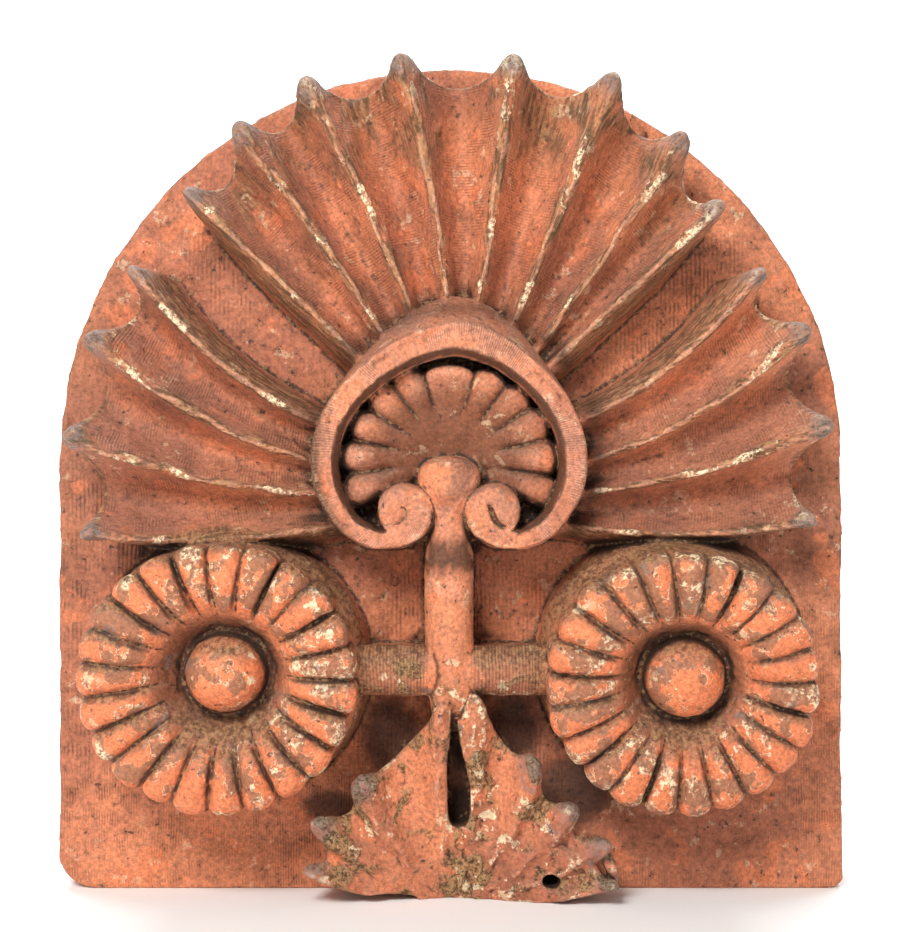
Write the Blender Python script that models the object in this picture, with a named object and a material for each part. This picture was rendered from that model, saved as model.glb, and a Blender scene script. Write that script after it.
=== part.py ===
# A terracotta lunette: an arched wall block whose front carries three leaf fans, a horseshoe
# band ending in two volutes round a palmette, a stem with two arms, two rosettes and a
# scalloped leaf that stands on the ground line. The real block is pressed from one piece of
# clay, so all the forms are joined into one solid.
#
# Metres, +Z up. The front faces -Y. The origin is the middle of the slab's underside.
# The carving is written in slab coordinates: x to the right, z up, and rise, which is the
# height above the slab's front face.

import math

import bpy

# Slab
SLAB_WIDTH = 0.560
SLAB_HEIGHT = 0.585
SLAB_THICKNESS = 0.076
SLAB_ARRIS = 0.0025  # worn edge round the arch
LEFT_CORNER_WEAR = 0.026  # the lower left corner is worn round
RIGHT_CORNER_WEAR = 0.009

# Leaf fans, which spring from behind the horseshoe band
FAN_MARGIN = 0.006  # from the longest tips to the slab's edge
FAN_LIFT = 0.006  # the fans' centre above the arch's centre
FAN_FOOT_REACH = 0.088  # where the ribs go in under the band
FAN_FOOT_RISE = 0.036
FAN_TIP_RISE = 0.060
FAN_TIP_UNDERCUT = 0.026  # how far the beaks stand out over the slab
FAN_HOLLOW = 0.66  # depth of a flute as a share of its width
FAN_SCALLOP = 0.016  # how far the edge falls back between two tips
FAN_FLANK = 0.015  # width of the slope from an end rib down to the slab
FLANK_FOOT_RISE = -0.004
WIDEST_FLANK = 25.0  # in degrees, near a fan's foot
TIP_FLANK = 0.3  # what is left of a flank's width at the tip
FLUTE_UNDERCUT = 0.15  # what is left of the undercut in the middle of a flute

# Horseshoe band, volutes and the recess inside
BAND_RISE = 0.066
BAND_WIDTH = 0.020
BAND_ARRIS = 0.0025
BAND_BEVEL = 0.006  # towards the recess
BAND_FLANK = 0.0024  # spread of the band's outer side at its foot
CROWN_FLANK = 0.014  # and what the crown has more
BAND_HALF_SPAN = 0.083  # from the middle to the band's centre line
VOLUTE_RADIUS = 0.0185
VOLUTE_FLARE = 0.002
VOLUTE_ARRIS = 0.003
VOLUTE_CROWN = 0.0015
VOLUTE_EYE = (0.28, 0.12)  # from its centre, as shares of its radius
VOLUTE_GROOVE = 0.0026
VOLUTE_GROOVE_DEPTH = 0.009
VOLUTE_GROOVE_SPAN = (112, 282)  # degrees round the eye, from straight up
VOLUTE_GROOVE_REACH = (0.86, 0.60)  # at its two ends, as shares of the radius
RECESS_RISE = 0.026

# Palmette
PALMETTE_REACH = 0.0715
PALMETTE_DROP = 0.0065  # its centre below the band's
PALMETTE_RISE = 0.052
PALMETTE_DISH = 0.016  # how far its middle lies below the lobes' crests
PALMETTE_ROWS = (0.03, 0.40, 0.60, 0.78, 0.92, 1.0)
CROWN_LOBE_REACH = 0.955  # shares of the reach, of the top lobe and of the lowest ones
LOWEST_LOBE_REACH = 1.03
LOBE_GROOVE = 0.009
LOBE_ROUNDING = 0.09  # how far a lobe's end falls back at its sides
LOBE_END_DROP = 0.0026
LOBE_COUNT = 11
CROWN_LOBE_HALF_ANGLE = 16.5  # the top lobe is the widest
PALMETTE_HALF_ANGLE = 121.0

# Stem and arms
STEM_WIDTH = 0.033
STEM_RISE = 0.063
NECK_WIDTH = 0.0215
KNOB_WIDTH = 0.0435
KNOB_RISE = 0.075
ARM_RADIUS = 0.017
ARM_AXIS_RISE = 0.036
ARM_HEIGHT = 0.160  # arms' axis above the ground
ARM_ROOT = 0.004  # from the stem's middle to the arms' inner ends
ARM_WEB = 0.86  # width of the clay behind an arm, as a share of the arm's
ARM_END = 0.75  # how far an arm goes into a rosette, as a share of its radius
STEM_FOOT = 0.117  # it runs out between the leaf's two stalks
STEM_FOOT_WIDTH = 0.024
STEM_FOOT_RISE = 0.042
STEM_FOOT_SHIFT = 0.003

# Rosettes
LEFT_ROSETTE_RADIUS = 0.0955
RIGHT_ROSETTE_RADIUS = 0.0930
LEFT_ROSETTE_GAP = 0.0290  # from the drum's foot circle to the slab's side
RIGHT_ROSETTE_GAP = 0.0304
LEFT_ROSETTE_HEIGHT = 0.159
RIGHT_ROSETTE_HEIGHT = 0.162
ROSETTE_OVAL = 0.965  # height over width
ROSETTE_RISE = 0.086
ROSETTE_FLARE = 0.005  # the drum is wider than the petals at the slab
PETAL_COUNT = 23
PETAL_GROOVE = 0.009
BOSS_RADIUS = 0.028
BOSS_RISE = 0.080
CUP_RISE = 0.048

# Leaf at the foot
LEAF_REACH = 0.115
LEAF_ROOT_REACH = 0.004
LEAF_ROOT_RISE = 0.030
LEAF_TIP_RISE = 0.064
LEAF_TIP_UNDERCUT = 0.022
LEAF_HOLLOW = 0.55
LEAF_SCALLOP = 0.016
LEAF_FLANK = 0.012
LEAF_CENTRE = (0.003, -0.008)
LEAF_ROOT_HOLLOW = 0.15  # share of the flutes' depth that is left at the root
SLOT_WIDTH = 0.015
SLOT_FOOT = 0.045  # lower end of the slot above the ground
SLOT_HEAD = 0.123
SLOT_HEAD_WIDTH = 0.0035
SLOT_SHIFT = 0.003  # the slot's foot lies right of the leaf's middle
SLOT_SLANT = 0.0045  # and its head left of that
SLOT_FLOOR_RISE = 0.008

# How deep the forms go into the slab, and below the ground line before the flat cut
EMBED = 0.012
GROUND_OVERRUN = 0.012
SHARP_ANGLE = 30.0  # edges that turn more than this stay crisp

FRONT_Y = -SLAB_THICKNESS / 2
ARCH_RADIUS = SLAB_WIDTH / 2
ARCH_CENTRE_Z = SLAB_HEIGHT - ARCH_RADIUS
FAN_CENTRE = (0.004, ARCH_CENTRE_Z + FAN_LIFT)
FAN_REACH = ARCH_RADIUS - FAN_MARGIN
BAND_CENTRE = (-0.001, FAN_CENTRE[1])
VOLUTE_OFFSET = (0.0300, -0.0410)  # from the band's centre, mirrored for the left one

# Ribs: angle of the tip and of the foot in degrees, clockwise from straight up, then the
# reach as a share of the fan's own, and how early the rib turns from one angle to the other
UPPER_RIBS = (
    (-46.4, -46.0, 0.940, 1.0),
    (-34.0, -31.5, 0.985, 1.0),
    (-21.7, -17.5, 1.005, 1.0),
    (-7.9, -3.0, 1.000, 1.0),
    (8.3, 9.0, 1.000, 1.0),
    (22.8, 24.0, 1.025, 1.0),
    (36.0, 38.0, 0.978, 1.0),
    (47.5, 47.5, 0.910, 1.0),
)
LEFT_RIBS = (
    (-101.5, -126.0, 0.962, 0.60),
    (-87.9, -112.0, 0.984, 0.60),
    (-73.0, -97.0, 0.968, 0.75),
    (-61.3, -79.0, 0.936, 1.00),
)
RIGHT_RIBS = (
    (59.2, 76.0, 0.893, 1.00),
    (70.9, 96.0, 0.934, 0.75),
    (86.0, 111.0, 0.940, 0.60),
    (101.6, 127.0, 0.915, 0.60),
)
LEAF_RIBS = (
    (-73.7, -84.0, 0.944, 0.7),
    (-56.2, -68.0, 1.032, 0.9),
    (-35.5, -48.0, 1.018, 1.0),
    (-2.9, -14.0, 1.299, 0.8),
    (5.1, 16.0, 1.344, 0.8),
    (27.4, 42.0, 1.067, 1.0),
    (47.7, 62.0, 0.985, 1.0),
    (64.2, 76.0, 1.030, 0.9),
    (79.3, 86.0, 0.991, 0.7),
)

# Across one flute: place, then the shares of its depth and of the scallop reached there.
# The ridges are rounded, and the beaks at their ends are blunt.
FLUTE_SECTION = (
    (0.0, 0.0, 0.0),
    (0.045, 0.035, 0.05),
    (0.11, 0.26, 0.30),
    (0.26, 0.72, 0.74),
    (0.5, 1.0, 1.0),
    (0.74, 0.72, 0.74),
    (0.89, 0.26, 0.30),
    (0.955, 0.035, 0.05),
)
# Rows along a flute, denser by the tips
LENGTH_STEPS = (0.0, 0.25, 0.5, 0.72, 0.88, 1.0)

# Across a petal: place as a share of its width, and the groove's share of depth there
PETAL_SECTION = ((0.0, 1.0), (0.15, 0.28), (0.5, 0.0), (0.85, 0.28))

# From a rosette's cup outwards: reach as a share of the radius, rise between the cup's floor
# and the face, how much of the groove shows, and how far it notches the outline
ROSETTE_ROWS = (
    (0.355, 0.00, 0.00, 0.000),
    (0.440, 0.20, 0.10, 0.000),
    (0.560, 0.62, 0.70, 0.000),
    (0.760, 0.97, 1.00, 0.000),
    (0.920, 1.00, 1.00, 0.010),
    (1.000, 0.78, 0.75, 0.050),
    (0.985, 0.45, 0.00, 0.000),
)

# Each rosette's lean: turn to the side and nod down in degrees, then how far its cup lies
# off the middle of its petals
LEFT_LEAN = (-2.0, 2.0, 0.0035, 0.0022)
RIGHT_LEAN = (0.0, 7.0, 0.0035, 0.0010)

# Stem outline from the knob down: drop below the knob's top, then width and rise as shares
KNOB_OUTLINE = (
    (0.0005, 0.20, 0.84),
    (0.0030, 0.58, 0.95),
    (0.0085, 0.88, 1.00),
    (0.0155, 1.00, 1.00),
    (0.0230, 0.92, 0.97),
    (0.0300, 0.70, 0.92),
)
NECK_DROP = 0.040
SHOULDER_DROP = 0.072

# Band's centre line on the left, from the crown down, as shares of its half span
BAND_LINE = (
    (0.00, 0.960, 1.10),
    (-0.33, 0.865, 1.05),
    (-0.56, 0.705, 1.00),
    (-0.76, 0.530, 0.98),
    (-0.885, 0.370, 0.96),
    (-0.965, 0.175, 0.95),
    (-1.00, -0.055, 0.92),
    (-0.975, -0.275, 0.88),
    (-0.895, -0.455, 0.84),
    (-0.79, -0.595, 0.80),
    (-0.625, -0.685, 0.74),
    (-0.485, -0.700, 0.70),
    (-0.365, -0.680, 0.68),
    (-0.265, -0.625, 0.62),
    (-0.195, -0.530, 0.54),
)
CROWN_SHIFT = 0.066  # the crown leans to the right by this share


def mix(a, b, share):
    return a + (b - a) * share


def on_slab(x, z, rise):
    """A point given in slab coordinates, in the object's own."""
    return (x, FRONT_Y - rise, z)


def polar(centre, angle, reach):
    """x and z at an angle in degrees, clockwise from straight up."""
    turn = math.radians(angle)
    return centre[0] + reach * math.sin(turn), centre[1] + reach * math.cos(turn)


def terracotta():
    material = bpy.data.materials.new("terracotta")
    material.use_nodes = True
    shader = material.node_tree.nodes["Principled BSDF"]
    shader.inputs["Base Color"].default_value = (0.50, 0.155, 0.075, 1.0)
    shader.inputs["Roughness"].default_value = 0.85
    shader.inputs["Metallic"].default_value = 0.0
    return material


def add_body(name, points, faces):
    """An object from points and faces, with its faces turned outwards."""
    mesh = bpy.data.meshes.new(name)
    mesh.from_pydata(points, [], faces)
    mesh.validate()
    volume = 0.0
    for face in mesh.polygons:
        corners = [mesh.vertices[i].co for i in face.vertices]
        for second, third in zip(corners[1:], corners[2:]):
            volume += corners[0].dot(second.cross(third))
    if volume < 0:
        mesh.flip_normals()
    mesh.shade_smooth()
    mesh.set_sharp_from_angle(angle=math.radians(SHARP_ANGLE))
    body = bpy.data.objects.new(name, mesh)
    bpy.context.scene.collection.objects.link(body)
    return body


def grid_body(name, top, bottom):
    """A closed body between two grids of points with the same rows and columns."""
    rows, columns = len(top), len(top[0])
    points = [on_slab(*p) for row in top + bottom for p in row]
    under = rows * columns
    faces = []
    for r in range(rows - 1):
        for c in range(columns - 1):
            a = r * columns + c
            quad = (a, a + 1, a + columns + 1, a + columns)
            faces.append(quad)
            faces.append(tuple(under + i for i in reversed(quad)))
    rim = [c for c in range(columns)]
    rim += [r * columns + columns - 1 for r in range(1, rows)]
    rim += [(rows - 1) * columns + c for c in range(columns - 2, -1, -1)]
    rim += [r * columns for r in range(rows - 2, 0, -1)]
    for here, there in zip(rim, rim[1:] + rim[:1]):
        faces.append((there, here, under + here, under + there))
    return add_body(name, points, faces)


def loop_body(name, loops):
    """A closed body through loops of points, with flat ends."""
    count = len(loops[0])
    points = [p for loop in loops for p in loop]
    faces = []
    for row in range(len(loops) - 1):
        for i in range(count):
            a = row * count + i
            b = row * count + (i + 1) % count
            faces.append((a, b, b + count, a + count))
    last = (len(loops) - 1) * count
    faces.append(tuple(reversed(range(count))))
    faces.append(tuple(last + i for i in range(count)))
    return add_body(name, points, faces)


def slab():
    """The arched block. It runs a little below the ground line, where all is cut flat later."""
    side = ARCH_RADIUS
    outline = []
    steps = 48
    for i in range(steps + 1):
        turn = math.pi * i / steps
        outline.append((side * math.cos(turn), ARCH_CENTRE_Z + side * math.sin(turn)))
    corner_steps = 5
    for i in range(corner_steps + 1):
        turn = math.pi + math.pi / 2 * i / corner_steps
        wear = LEFT_CORNER_WEAR
        outline.append((-side + wear + wear * math.cos(turn), wear + wear * math.sin(turn)))
    outline.append((-side + LEFT_CORNER_WEAR, -GROUND_OVERRUN))
    outline.append((side - RIGHT_CORNER_WEAR, -GROUND_OVERRUN))
    for i in range(corner_steps + 1):
        turn = -math.pi / 2 + math.pi / 2 * i / corner_steps
        wear = RIGHT_CORNER_WEAR
        outline.append((side - wear + wear * math.cos(turn), wear + wear * math.sin(turn)))

    def inset(x, z):
        """A point of the outline moved in by the worn edge, towards the arch's centre line."""
        middle_z = max(min(z, ARCH_CENTRE_Z), 0.0)
        away = math.hypot(x, z - middle_z)
        share = 1 - SLAB_ARRIS / away
        return x * share, middle_z + (z - middle_z) * share

    inner = [inset(x, z) for x, z in outline]
    back = SLAB_THICKNESS / 2
    loops = [
        [(x, back, z) for x, z in inner],
        [(x, back - SLAB_ARRIS, z) for x, z in outline],
        [(x, -back + SLAB_ARRIS, z) for x, z in outline],
        [(x, -back, z) for x, z in inner],
    ]
    return loop_body("terracotta_lunette", loops)


def fan(name, centre, ribs, fan_reach, shape):
    """A leaf with a ridge along each rib, a hollow flute between ribs and a scalloped edge.

    shape holds the foot's reach and rise, the tips' rise, the flutes' hollow as a share of
    their width and how much of it is left at the foot, the depth of the scallops, the
    undercut below the tips and the flanks' width.
    """
    last = len(ribs) - 2
    columns = [(0, 0.0, 0.0, 0.0, -1)]
    for i in range(last + 1):
        columns += [(i, *place, 0) for place in FLUTE_SECTION]
    columns.append((last, 1.0, 0.0, 0.0, 0))
    columns.append((last, 1.0, 0.0, 0.0, 1))
    top, bottom = [], []
    for t in LENGTH_STEPS:
        over, under = [], []
        hollow = shape["hollow"] * mix(shape["foot_hollow"], 1.0, t)
        ridge = mix(shape["foot_rise"], shape["tip_rise"], t)
        for i, share, deep, back, flank in columns:
            low, high = ribs[i], ribs[i + 1]
            tip_reach = mix(low[2], high[2], share) * fan_reach - shape["scallop"] * back
            reach = mix(shape["foot_reach"], tip_reach, t)
            low_angle = mix(low[1], low[0], t ** low[3])
            high_angle = mix(high[1], high[0], t ** high[3])
            width = reach * math.radians(abs(high_angle - low_angle))
            rise = ridge - hollow * width * deep
            angle = mix(low_angle, high_angle, share)
            floor_reach = reach - shape["undercut"] * mix(1.0, FLUTE_UNDERCUT, deep) * t**3
            if flank:
                spread = math.degrees(shape["flank"] * mix(1.0, TIP_FLANK, t**4) / reach)
                angle += flank * min(spread, WIDEST_FLANK)
                reach = floor_reach
                rise = FLANK_FOOT_RISE
            over.append((*polar(centre, angle, reach), max(rise, FLANK_FOOT_RISE)))
            under.append((*polar(centre, angle, floor_reach), -EMBED))
        top.append(over)
        bottom.append(under)
    return grid_body(name, top, bottom)


def spline(points, steps):
    """A smooth line through control points of any number of values."""
    padded = [points[0], *points, points[-1]]
    line = []
    for a, b, c, d in zip(padded, padded[1:], padded[2:], padded[3:]):
        for step in range(steps):
            t = step / steps
            line.append(
                tuple(
                    0.5 * (2 * q + (r - p) * t + (2 * p - 5 * q + 4 * r - s) * t**2
                           + (3 * q - p - 3 * r + s) * t**3)
                    for p, q, r, s in zip(a, b, c, d)
                )
            )
    line.append(tuple(points[-1]))
    return line


def band_line():
    """The band's centre line from one volute over the crown to the other: x, z, width share."""
    half = BAND_HALF_SPAN
    left = [
        (x * half + CROWN_SHIFT * half * max(0.0, z) ** 3, z * half, width)
        for x, z, width in reversed(BAND_LINE)
    ]
    right = [
        (-x * half + CROWN_SHIFT * half * max(0.0, z) ** 3, z * half, width)
        for x, z, width in BAND_LINE[1:]
    ]
    cx, cz = BAND_CENTRE
    return [(cx + x, cz + z, width) for x, z, width in spline(left + right, 2)]


def horseshoe_band():
    """The band: flat on top, a steep outer side that spreads, and a bevel towards the recess."""
    line = band_line()
    loops = []
    for i, (x, z, share) in enumerate(line):
        before, after = line[max(i - 1, 0)], line[min(i + 1, len(line) - 1)]
        dx, dz = after[0] - before[0], after[1] - before[1]
        length = math.hypot(dx, dz)
        out_x, out_z = -dz / length, dx / length
        half = BAND_WIDTH * share / 2
        crown = max(0.0, z - BAND_CENTRE[1]) / BAND_HALF_SPAN
        spread = BAND_FLANK + CROWN_FLANK * crown**4
        profile = (
            (half + spread, -EMBED),
            (half + spread, FAN_FOOT_RISE),
            (half, BAND_RISE - BAND_ARRIS),
            (half - BAND_ARRIS, BAND_RISE),
            (-half + BAND_BEVEL * share, BAND_RISE),
            (-half, BAND_RISE - BAND_BEVEL),
            (-half, -EMBED),
        )
        loops.append([on_slab(x + out_x * a, z + out_z * a, rise) for a, rise in profile])
    return loop_body("form_band", loops)


def volute_centre(side):
    return BAND_CENTRE[0] + side * VOLUTE_OFFSET[0], BAND_CENTRE[1] + VOLUTE_OFFSET[1]


def volute(name, side):
    """The disc that the band rolls into."""
    centre = volute_centre(side)
    rows = (
        (VOLUTE_RADIUS + VOLUTE_FLARE, -EMBED),
        (VOLUTE_RADIUS, BAND_RISE - VOLUTE_ARRIS),
        (VOLUTE_RADIUS - VOLUTE_ARRIS, BAND_RISE - VOLUTE_CROWN / 3),
        (VOLUTE_RADIUS / 2, BAND_RISE + VOLUTE_CROWN),
    )
    count = 24
    loops = [
        [on_slab(*polar(centre, 360 * i / count, reach), rise) for i in range(count)]
        for reach, rise in rows
    ]
    return loop_body(name, loops)


def volute_groove(name, side):
    """The cutter for the hooked groove between the band's end and the volute's eye."""
    centre = volute_centre(side)
    eye = (
        centre[0] + side * VOLUTE_EYE[0] * VOLUTE_RADIUS,
        centre[1] + VOLUTE_EYE[1] * VOLUTE_RADIUS,
    )
    top = BAND_RISE + VOLUTE_RADIUS
    loops = []
    steps = 9
    for i in range(steps + 1):
        t = i / steps
        angle = side * mix(*VOLUTE_GROOVE_SPAN, t)
        reach = VOLUTE_RADIUS * mix(*VOLUTE_GROOVE_REACH, t)
        taper = mix(1.0, 0.4, t)
        half = VOLUTE_GROOVE / 2 * taper
        out = polar((0.0, 0.0), angle, 1.0)
        floor = BAND_RISE - VOLUTE_GROOVE_DEPTH * taper
        profile = ((reach + half, top), (reach + half, floor), (reach - half, floor),
                   (reach - half, top))
        loops.append(
            [on_slab(eye[0] + out[0] * a, eye[1] + out[1] * a, rise) for a, rise in profile]
        )
    return loop_body(name, loops)


def recess():
    """The raised ground inside the band, on which the palmette lies."""
    line = band_line()
    outline = [(x, z) for x, z, width in line]
    loops = [[on_slab(x, z, rise) for x, z in outline] for rise in (-EMBED, RECESS_RISE)]
    return loop_body("form_recess", loops)


def palmette():
    """Round-ended lobes that radiate from a dished middle, with a wide one at the top."""
    centre = (BAND_CENTRE[0], BAND_CENTRE[1] - PALMETTE_DROP)
    side_count = (LOBE_COUNT - 1) // 2
    lowest = PALMETTE_HALF_ANGLE
    lobe_width = (lowest - CROWN_LOBE_HALF_ANGLE) / side_count
    edges = [-lowest + lobe_width * i for i in range(side_count + 1)]
    edges += [-edge for edge in reversed(edges)]
    columns = [
        (mix(start, end, share), abs(2 * share - 1))
        for start, end in zip(edges, edges[1:])
        for share in (0.0, 0.15, 0.5, 0.85)
    ]
    columns.append((edges[-1], 1.0))
    top, bottom = [], []
    for t in PALMETTE_ROWS:
        over, under = [], []
        for angle, off in columns:
            share = mix(CROWN_LOBE_REACH, LOWEST_LOBE_REACH, abs(angle) / lowest)
            end = PALMETTE_REACH * share * (1 - LOBE_ROUNDING * off**3)
            crest = PALMETTE_RISE - PALMETTE_DISH * (1 - t) ** 1.3 - LOBE_END_DROP * t**8
            groove = LOBE_GROOVE * min(1.0, 1.5 * t**2) * off**3
            x, z = polar(centre, angle, end * t)
            over.append((x, z, crest - groove))
            under.append((x, z, -EMBED))
        top.append(over)
        bottom.append(under)
    return grid_body("form_palmette", top, bottom)


def half_round(middle, half_width, rise, height, points=9):
    """A half-round section at a height, from its left foot over its crown to its right foot."""
    section = [on_slab(middle + half_width, height, -EMBED)]
    for i in range(points):
        turn = math.pi * i / (points - 1)
        lift = max(0.0, rise - half_width) + min(rise, half_width) * math.sin(turn)
        section.append(on_slab(middle + half_width * math.cos(turn), height, lift))
    section.append(on_slab(middle - half_width, height, -EMBED))
    return section


def stem():
    """The stem: a domed knob, a narrow neck between the volutes, then a stout shaft."""
    middle = BAND_CENTRE[0]
    top = BAND_CENTRE[1] - 0.003
    sections = [
        half_round(middle, KNOB_WIDTH / 2 * width, KNOB_RISE * rise, top - drop)
        for drop, width, rise in KNOB_OUTLINE
    ]
    neck = top - NECK_DROP
    shoulder = top - SHOULDER_DROP
    # Below the knob: shift to the right, width, rise and height
    shaft = (
        (0.0, NECK_WIDTH, mix(KNOB_RISE, STEM_RISE, 0.8), neck),
        (0.0, mix(NECK_WIDTH, STEM_WIDTH, 0.55), STEM_RISE, mix(neck, shoulder, 0.5)),
        (0.0, STEM_WIDTH, STEM_RISE, shoulder),
        (0.0, STEM_WIDTH, STEM_RISE, mix(shoulder, ARM_HEIGHT, 0.5)),
        (STEM_FOOT_SHIFT / 3, STEM_WIDTH, STEM_RISE, ARM_HEIGHT),
        (STEM_FOOT_SHIFT, STEM_FOOT_WIDTH, STEM_FOOT_RISE, STEM_FOOT),
    )
    sections += [
        half_round(middle + shift, width / 2, rise, height) for shift, width, rise, height in shaft
    ]
    return loop_body("form_stem", sections)


def arm(name, side, end_x):
    """A round bar from the stem to a rosette's drum."""
    sides = 14
    start_x = BAND_CENTRE[0] + side * ARM_ROOT
    loops = []
    for x in (start_x, end_x):
        loop = []
        for i in range(sides):
            turn = 2 * math.pi * (i + 0.5) / sides
            loop.append(
                on_slab(
                    x,
                    ARM_HEIGHT + ARM_RADIUS * math.cos(turn),
                    ARM_AXIS_RISE + ARM_RADIUS * math.sin(turn),
                )
            )
        loops.append(loop)
    return loop_body(name, loops)


def arm_web(name, side, end_x):
    """The clay that carries the arm from the slab behind it."""
    start_x = BAND_CENTRE[0] + side * ARM_ROOT
    half = ARM_RADIUS * ARM_WEB
    loops = [
        [on_slab(x, ARM_HEIGHT + dz, rise) for dz, rise in
         ((half, -EMBED), (half, ARM_AXIS_RISE), (-half, ARM_AXIS_RISE), (-half, -EMBED))]
        for x in (start_x, end_x)
    ]
    return loop_body(name, loops)


def leaning(centre, angle, reach, rise, lean, inner):
    """A point of a rosette, oval and leaning. inner is 1 at the cup's middle and 0 at the rim."""
    turn, nod, cup_x, cup_z = lean
    slope_x, slope_z = math.radians(turn), -math.radians(nod)
    dx, dz = polar((0.0, 0.0), angle, reach)
    dz *= ROSETTE_OVAL
    x = centre[0] + dx + cup_x * inner + slope_x * rise
    z = centre[1] + dz + cup_z * inner + slope_z * rise
    return on_slab(x, z, rise - slope_x * dx - slope_z * dz)


def rosette(name, centre, radius, lean):
    """A drum with petals round a cup. Each petal is a rounded bar with a groove on each side."""
    columns = [
        (360 * (petal + place) / PETAL_COUNT, deep)
        for petal in range(PETAL_COUNT)
        for place, deep in PETAL_SECTION
    ]
    cup_edge = ROSETTE_ROWS[0][0]
    loops = []
    for share, level, groove, notch in ROSETTE_ROWS:
        crest = mix(CUP_RISE, ROSETTE_RISE, level)
        inner = (1 - share) / (1 - cup_edge)
        loops.append(
            [leaning(centre, angle, radius * (share - notch * deep),
                     crest - PETAL_GROOVE * groove * deep, lean, inner)
             for angle, deep in columns]
        )
    foot = radius + ROSETTE_FLARE
    loops.append([leaning(centre, angle, foot, -EMBED, lean, 0.0) for angle, deep in columns])
    return loop_body(name, loops)


def boss(name, centre, lean):
    """The ball in the middle of a rosette's cup."""
    count = 20
    steps = 5
    rows = [(BOSS_RADIUS, EMBED)]
    for i in range(steps):
        lift = math.pi / 2 * i / (steps - 0.4)
        rows.append((BOSS_RADIUS * math.cos(lift), BOSS_RISE - BOSS_RADIUS * (1 - math.sin(lift))))
    loops = [
        [leaning(centre, 360 * i / count, reach, rise, lean, 1.0) for i in range(count)]
        for reach, rise in rows
    ]
    return loop_body(name, loops)


def slot():
    """The cutter for the narrow slot between the leaf's two stalks."""
    outline = []
    middle = LEAF_CENTRE[0] + SLOT_SHIFT
    head = middle - SLOT_SLANT
    half = SLOT_WIDTH / 2
    for i in range(7):
        turn = math.pi * i / 6
        outline.append((middle + half * math.cos(turn), SLOT_FOOT + half - half * math.sin(turn)))
    outline.append((head - SLOT_HEAD_WIDTH / 2, SLOT_HEAD))
    outline.append((head + SLOT_HEAD_WIDTH / 2, SLOT_HEAD))
    loops = [
        [on_slab(x, z, rise) for x, z in outline] for rise in (SLOT_FLOOR_RISE, LEAF_TIP_RISE * 2)
    ]
    return loop_body("cutter_slot", loops)


def ground_cutter():
    """A block below the ground line, which cuts the slab and the leaf off flat."""
    far = SLAB_WIDTH
    loops = [
        [(-far, -far, z), (far, -far, z), (far, far, z), (-far, far, z)]
        for z in (-GROUND_OVERRUN * 4, 0.0)
    ]
    return loop_body("cutter_ground", loops)


def boolean(target, other, operation):
    """Joins another form to the target or cuts it away, and leaves it as a hidden guide."""
    other.hide_render = True
    other.display_type = "WIRE"
    modifier = target.modifiers.new(other.name, "BOOLEAN")
    modifier.operation = operation
    modifier.solver = "EXACT"
    modifier.use_self = True
    modifier.object = other


def main():
    for obj in list(bpy.data.objects):
        bpy.data.objects.remove(obj, do_unlink=True)

    side = ARCH_RADIUS
    left_centre = (-side + LEFT_ROSETTE_GAP + LEFT_ROSETTE_RADIUS, LEFT_ROSETTE_HEIGHT)
    right_centre = (side - RIGHT_ROSETTE_GAP - RIGHT_ROSETTE_RADIUS, RIGHT_ROSETTE_HEIGHT)
    left_arm_end = left_centre[0] + ARM_END * LEFT_ROSETTE_RADIUS
    right_arm_end = right_centre[0] - ARM_END * RIGHT_ROSETTE_RADIUS
    fan_shape = {
        "foot_reach": FAN_FOOT_REACH,
        "foot_rise": FAN_FOOT_RISE,
        "tip_rise": FAN_TIP_RISE,
        "hollow": FAN_HOLLOW,
        "foot_hollow": 1.0,
        "scallop": FAN_SCALLOP,
        "undercut": FAN_TIP_UNDERCUT,
        "flank": FAN_FLANK,
    }
    leaf_shape = {
        "foot_reach": LEAF_ROOT_REACH,
        "foot_rise": LEAF_ROOT_RISE,
        "tip_rise": LEAF_TIP_RISE,
        "hollow": LEAF_HOLLOW,
        "foot_hollow": LEAF_ROOT_HOLLOW,
        "scallop": LEAF_SCALLOP,
        "undercut": LEAF_TIP_UNDERCUT,
        "flank": LEAF_FLANK,
    }
    block = slab()
    block.data.materials.append(terracotta())
    forms = [
        fan("form_upper_fan", FAN_CENTRE, UPPER_RIBS, FAN_REACH, fan_shape),
        fan("form_left_fan", FAN_CENTRE, LEFT_RIBS, FAN_REACH, fan_shape),
        fan("form_right_fan", FAN_CENTRE, RIGHT_RIBS, FAN_REACH, fan_shape),
        recess(),
        horseshoe_band(),
        volute("form_left_volute", -1),
        volute("form_right_volute", 1),
        palmette(),
        stem(),
        arm("form_left_arm", -1, left_arm_end),
        arm("form_right_arm", 1, right_arm_end),
        arm_web("form_left_arm_web", -1, left_arm_end),
        arm_web("form_right_arm_web", 1, right_arm_end),
        rosette("form_left_rosette", left_centre, LEFT_ROSETTE_RADIUS, LEFT_LEAN),
        rosette("form_right_rosette", right_centre, RIGHT_ROSETTE_RADIUS, RIGHT_LEAN),
        boss("form_left_boss", left_centre, LEFT_LEAN),
        boss("form_right_boss", right_centre, RIGHT_LEAN),
        fan("form_leaf", LEAF_CENTRE, LEAF_RIBS, LEAF_REACH, leaf_shape),
    ]
    for form in forms:
        boolean(block, form, "UNION")
    cutters = [
        volute_groove("cutter_left_groove", -1),
        volute_groove("cutter_right_groove", 1),
        slot(),
        ground_cutter(),
    ]
    for cutter in cutters:
        boolean(block, cutter, "DIFFERENCE")


main()
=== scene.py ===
# Terracotta lunette: an arched block with three leaf fans, a horseshoe band round a palmette,
# a stem with two arms, two rosettes and a leaf at its foot, all pressed from one clay.
# Forms are written in slab coordinates: x to the right, z up, and rise above the slab's front.

import functools
import math

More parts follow.
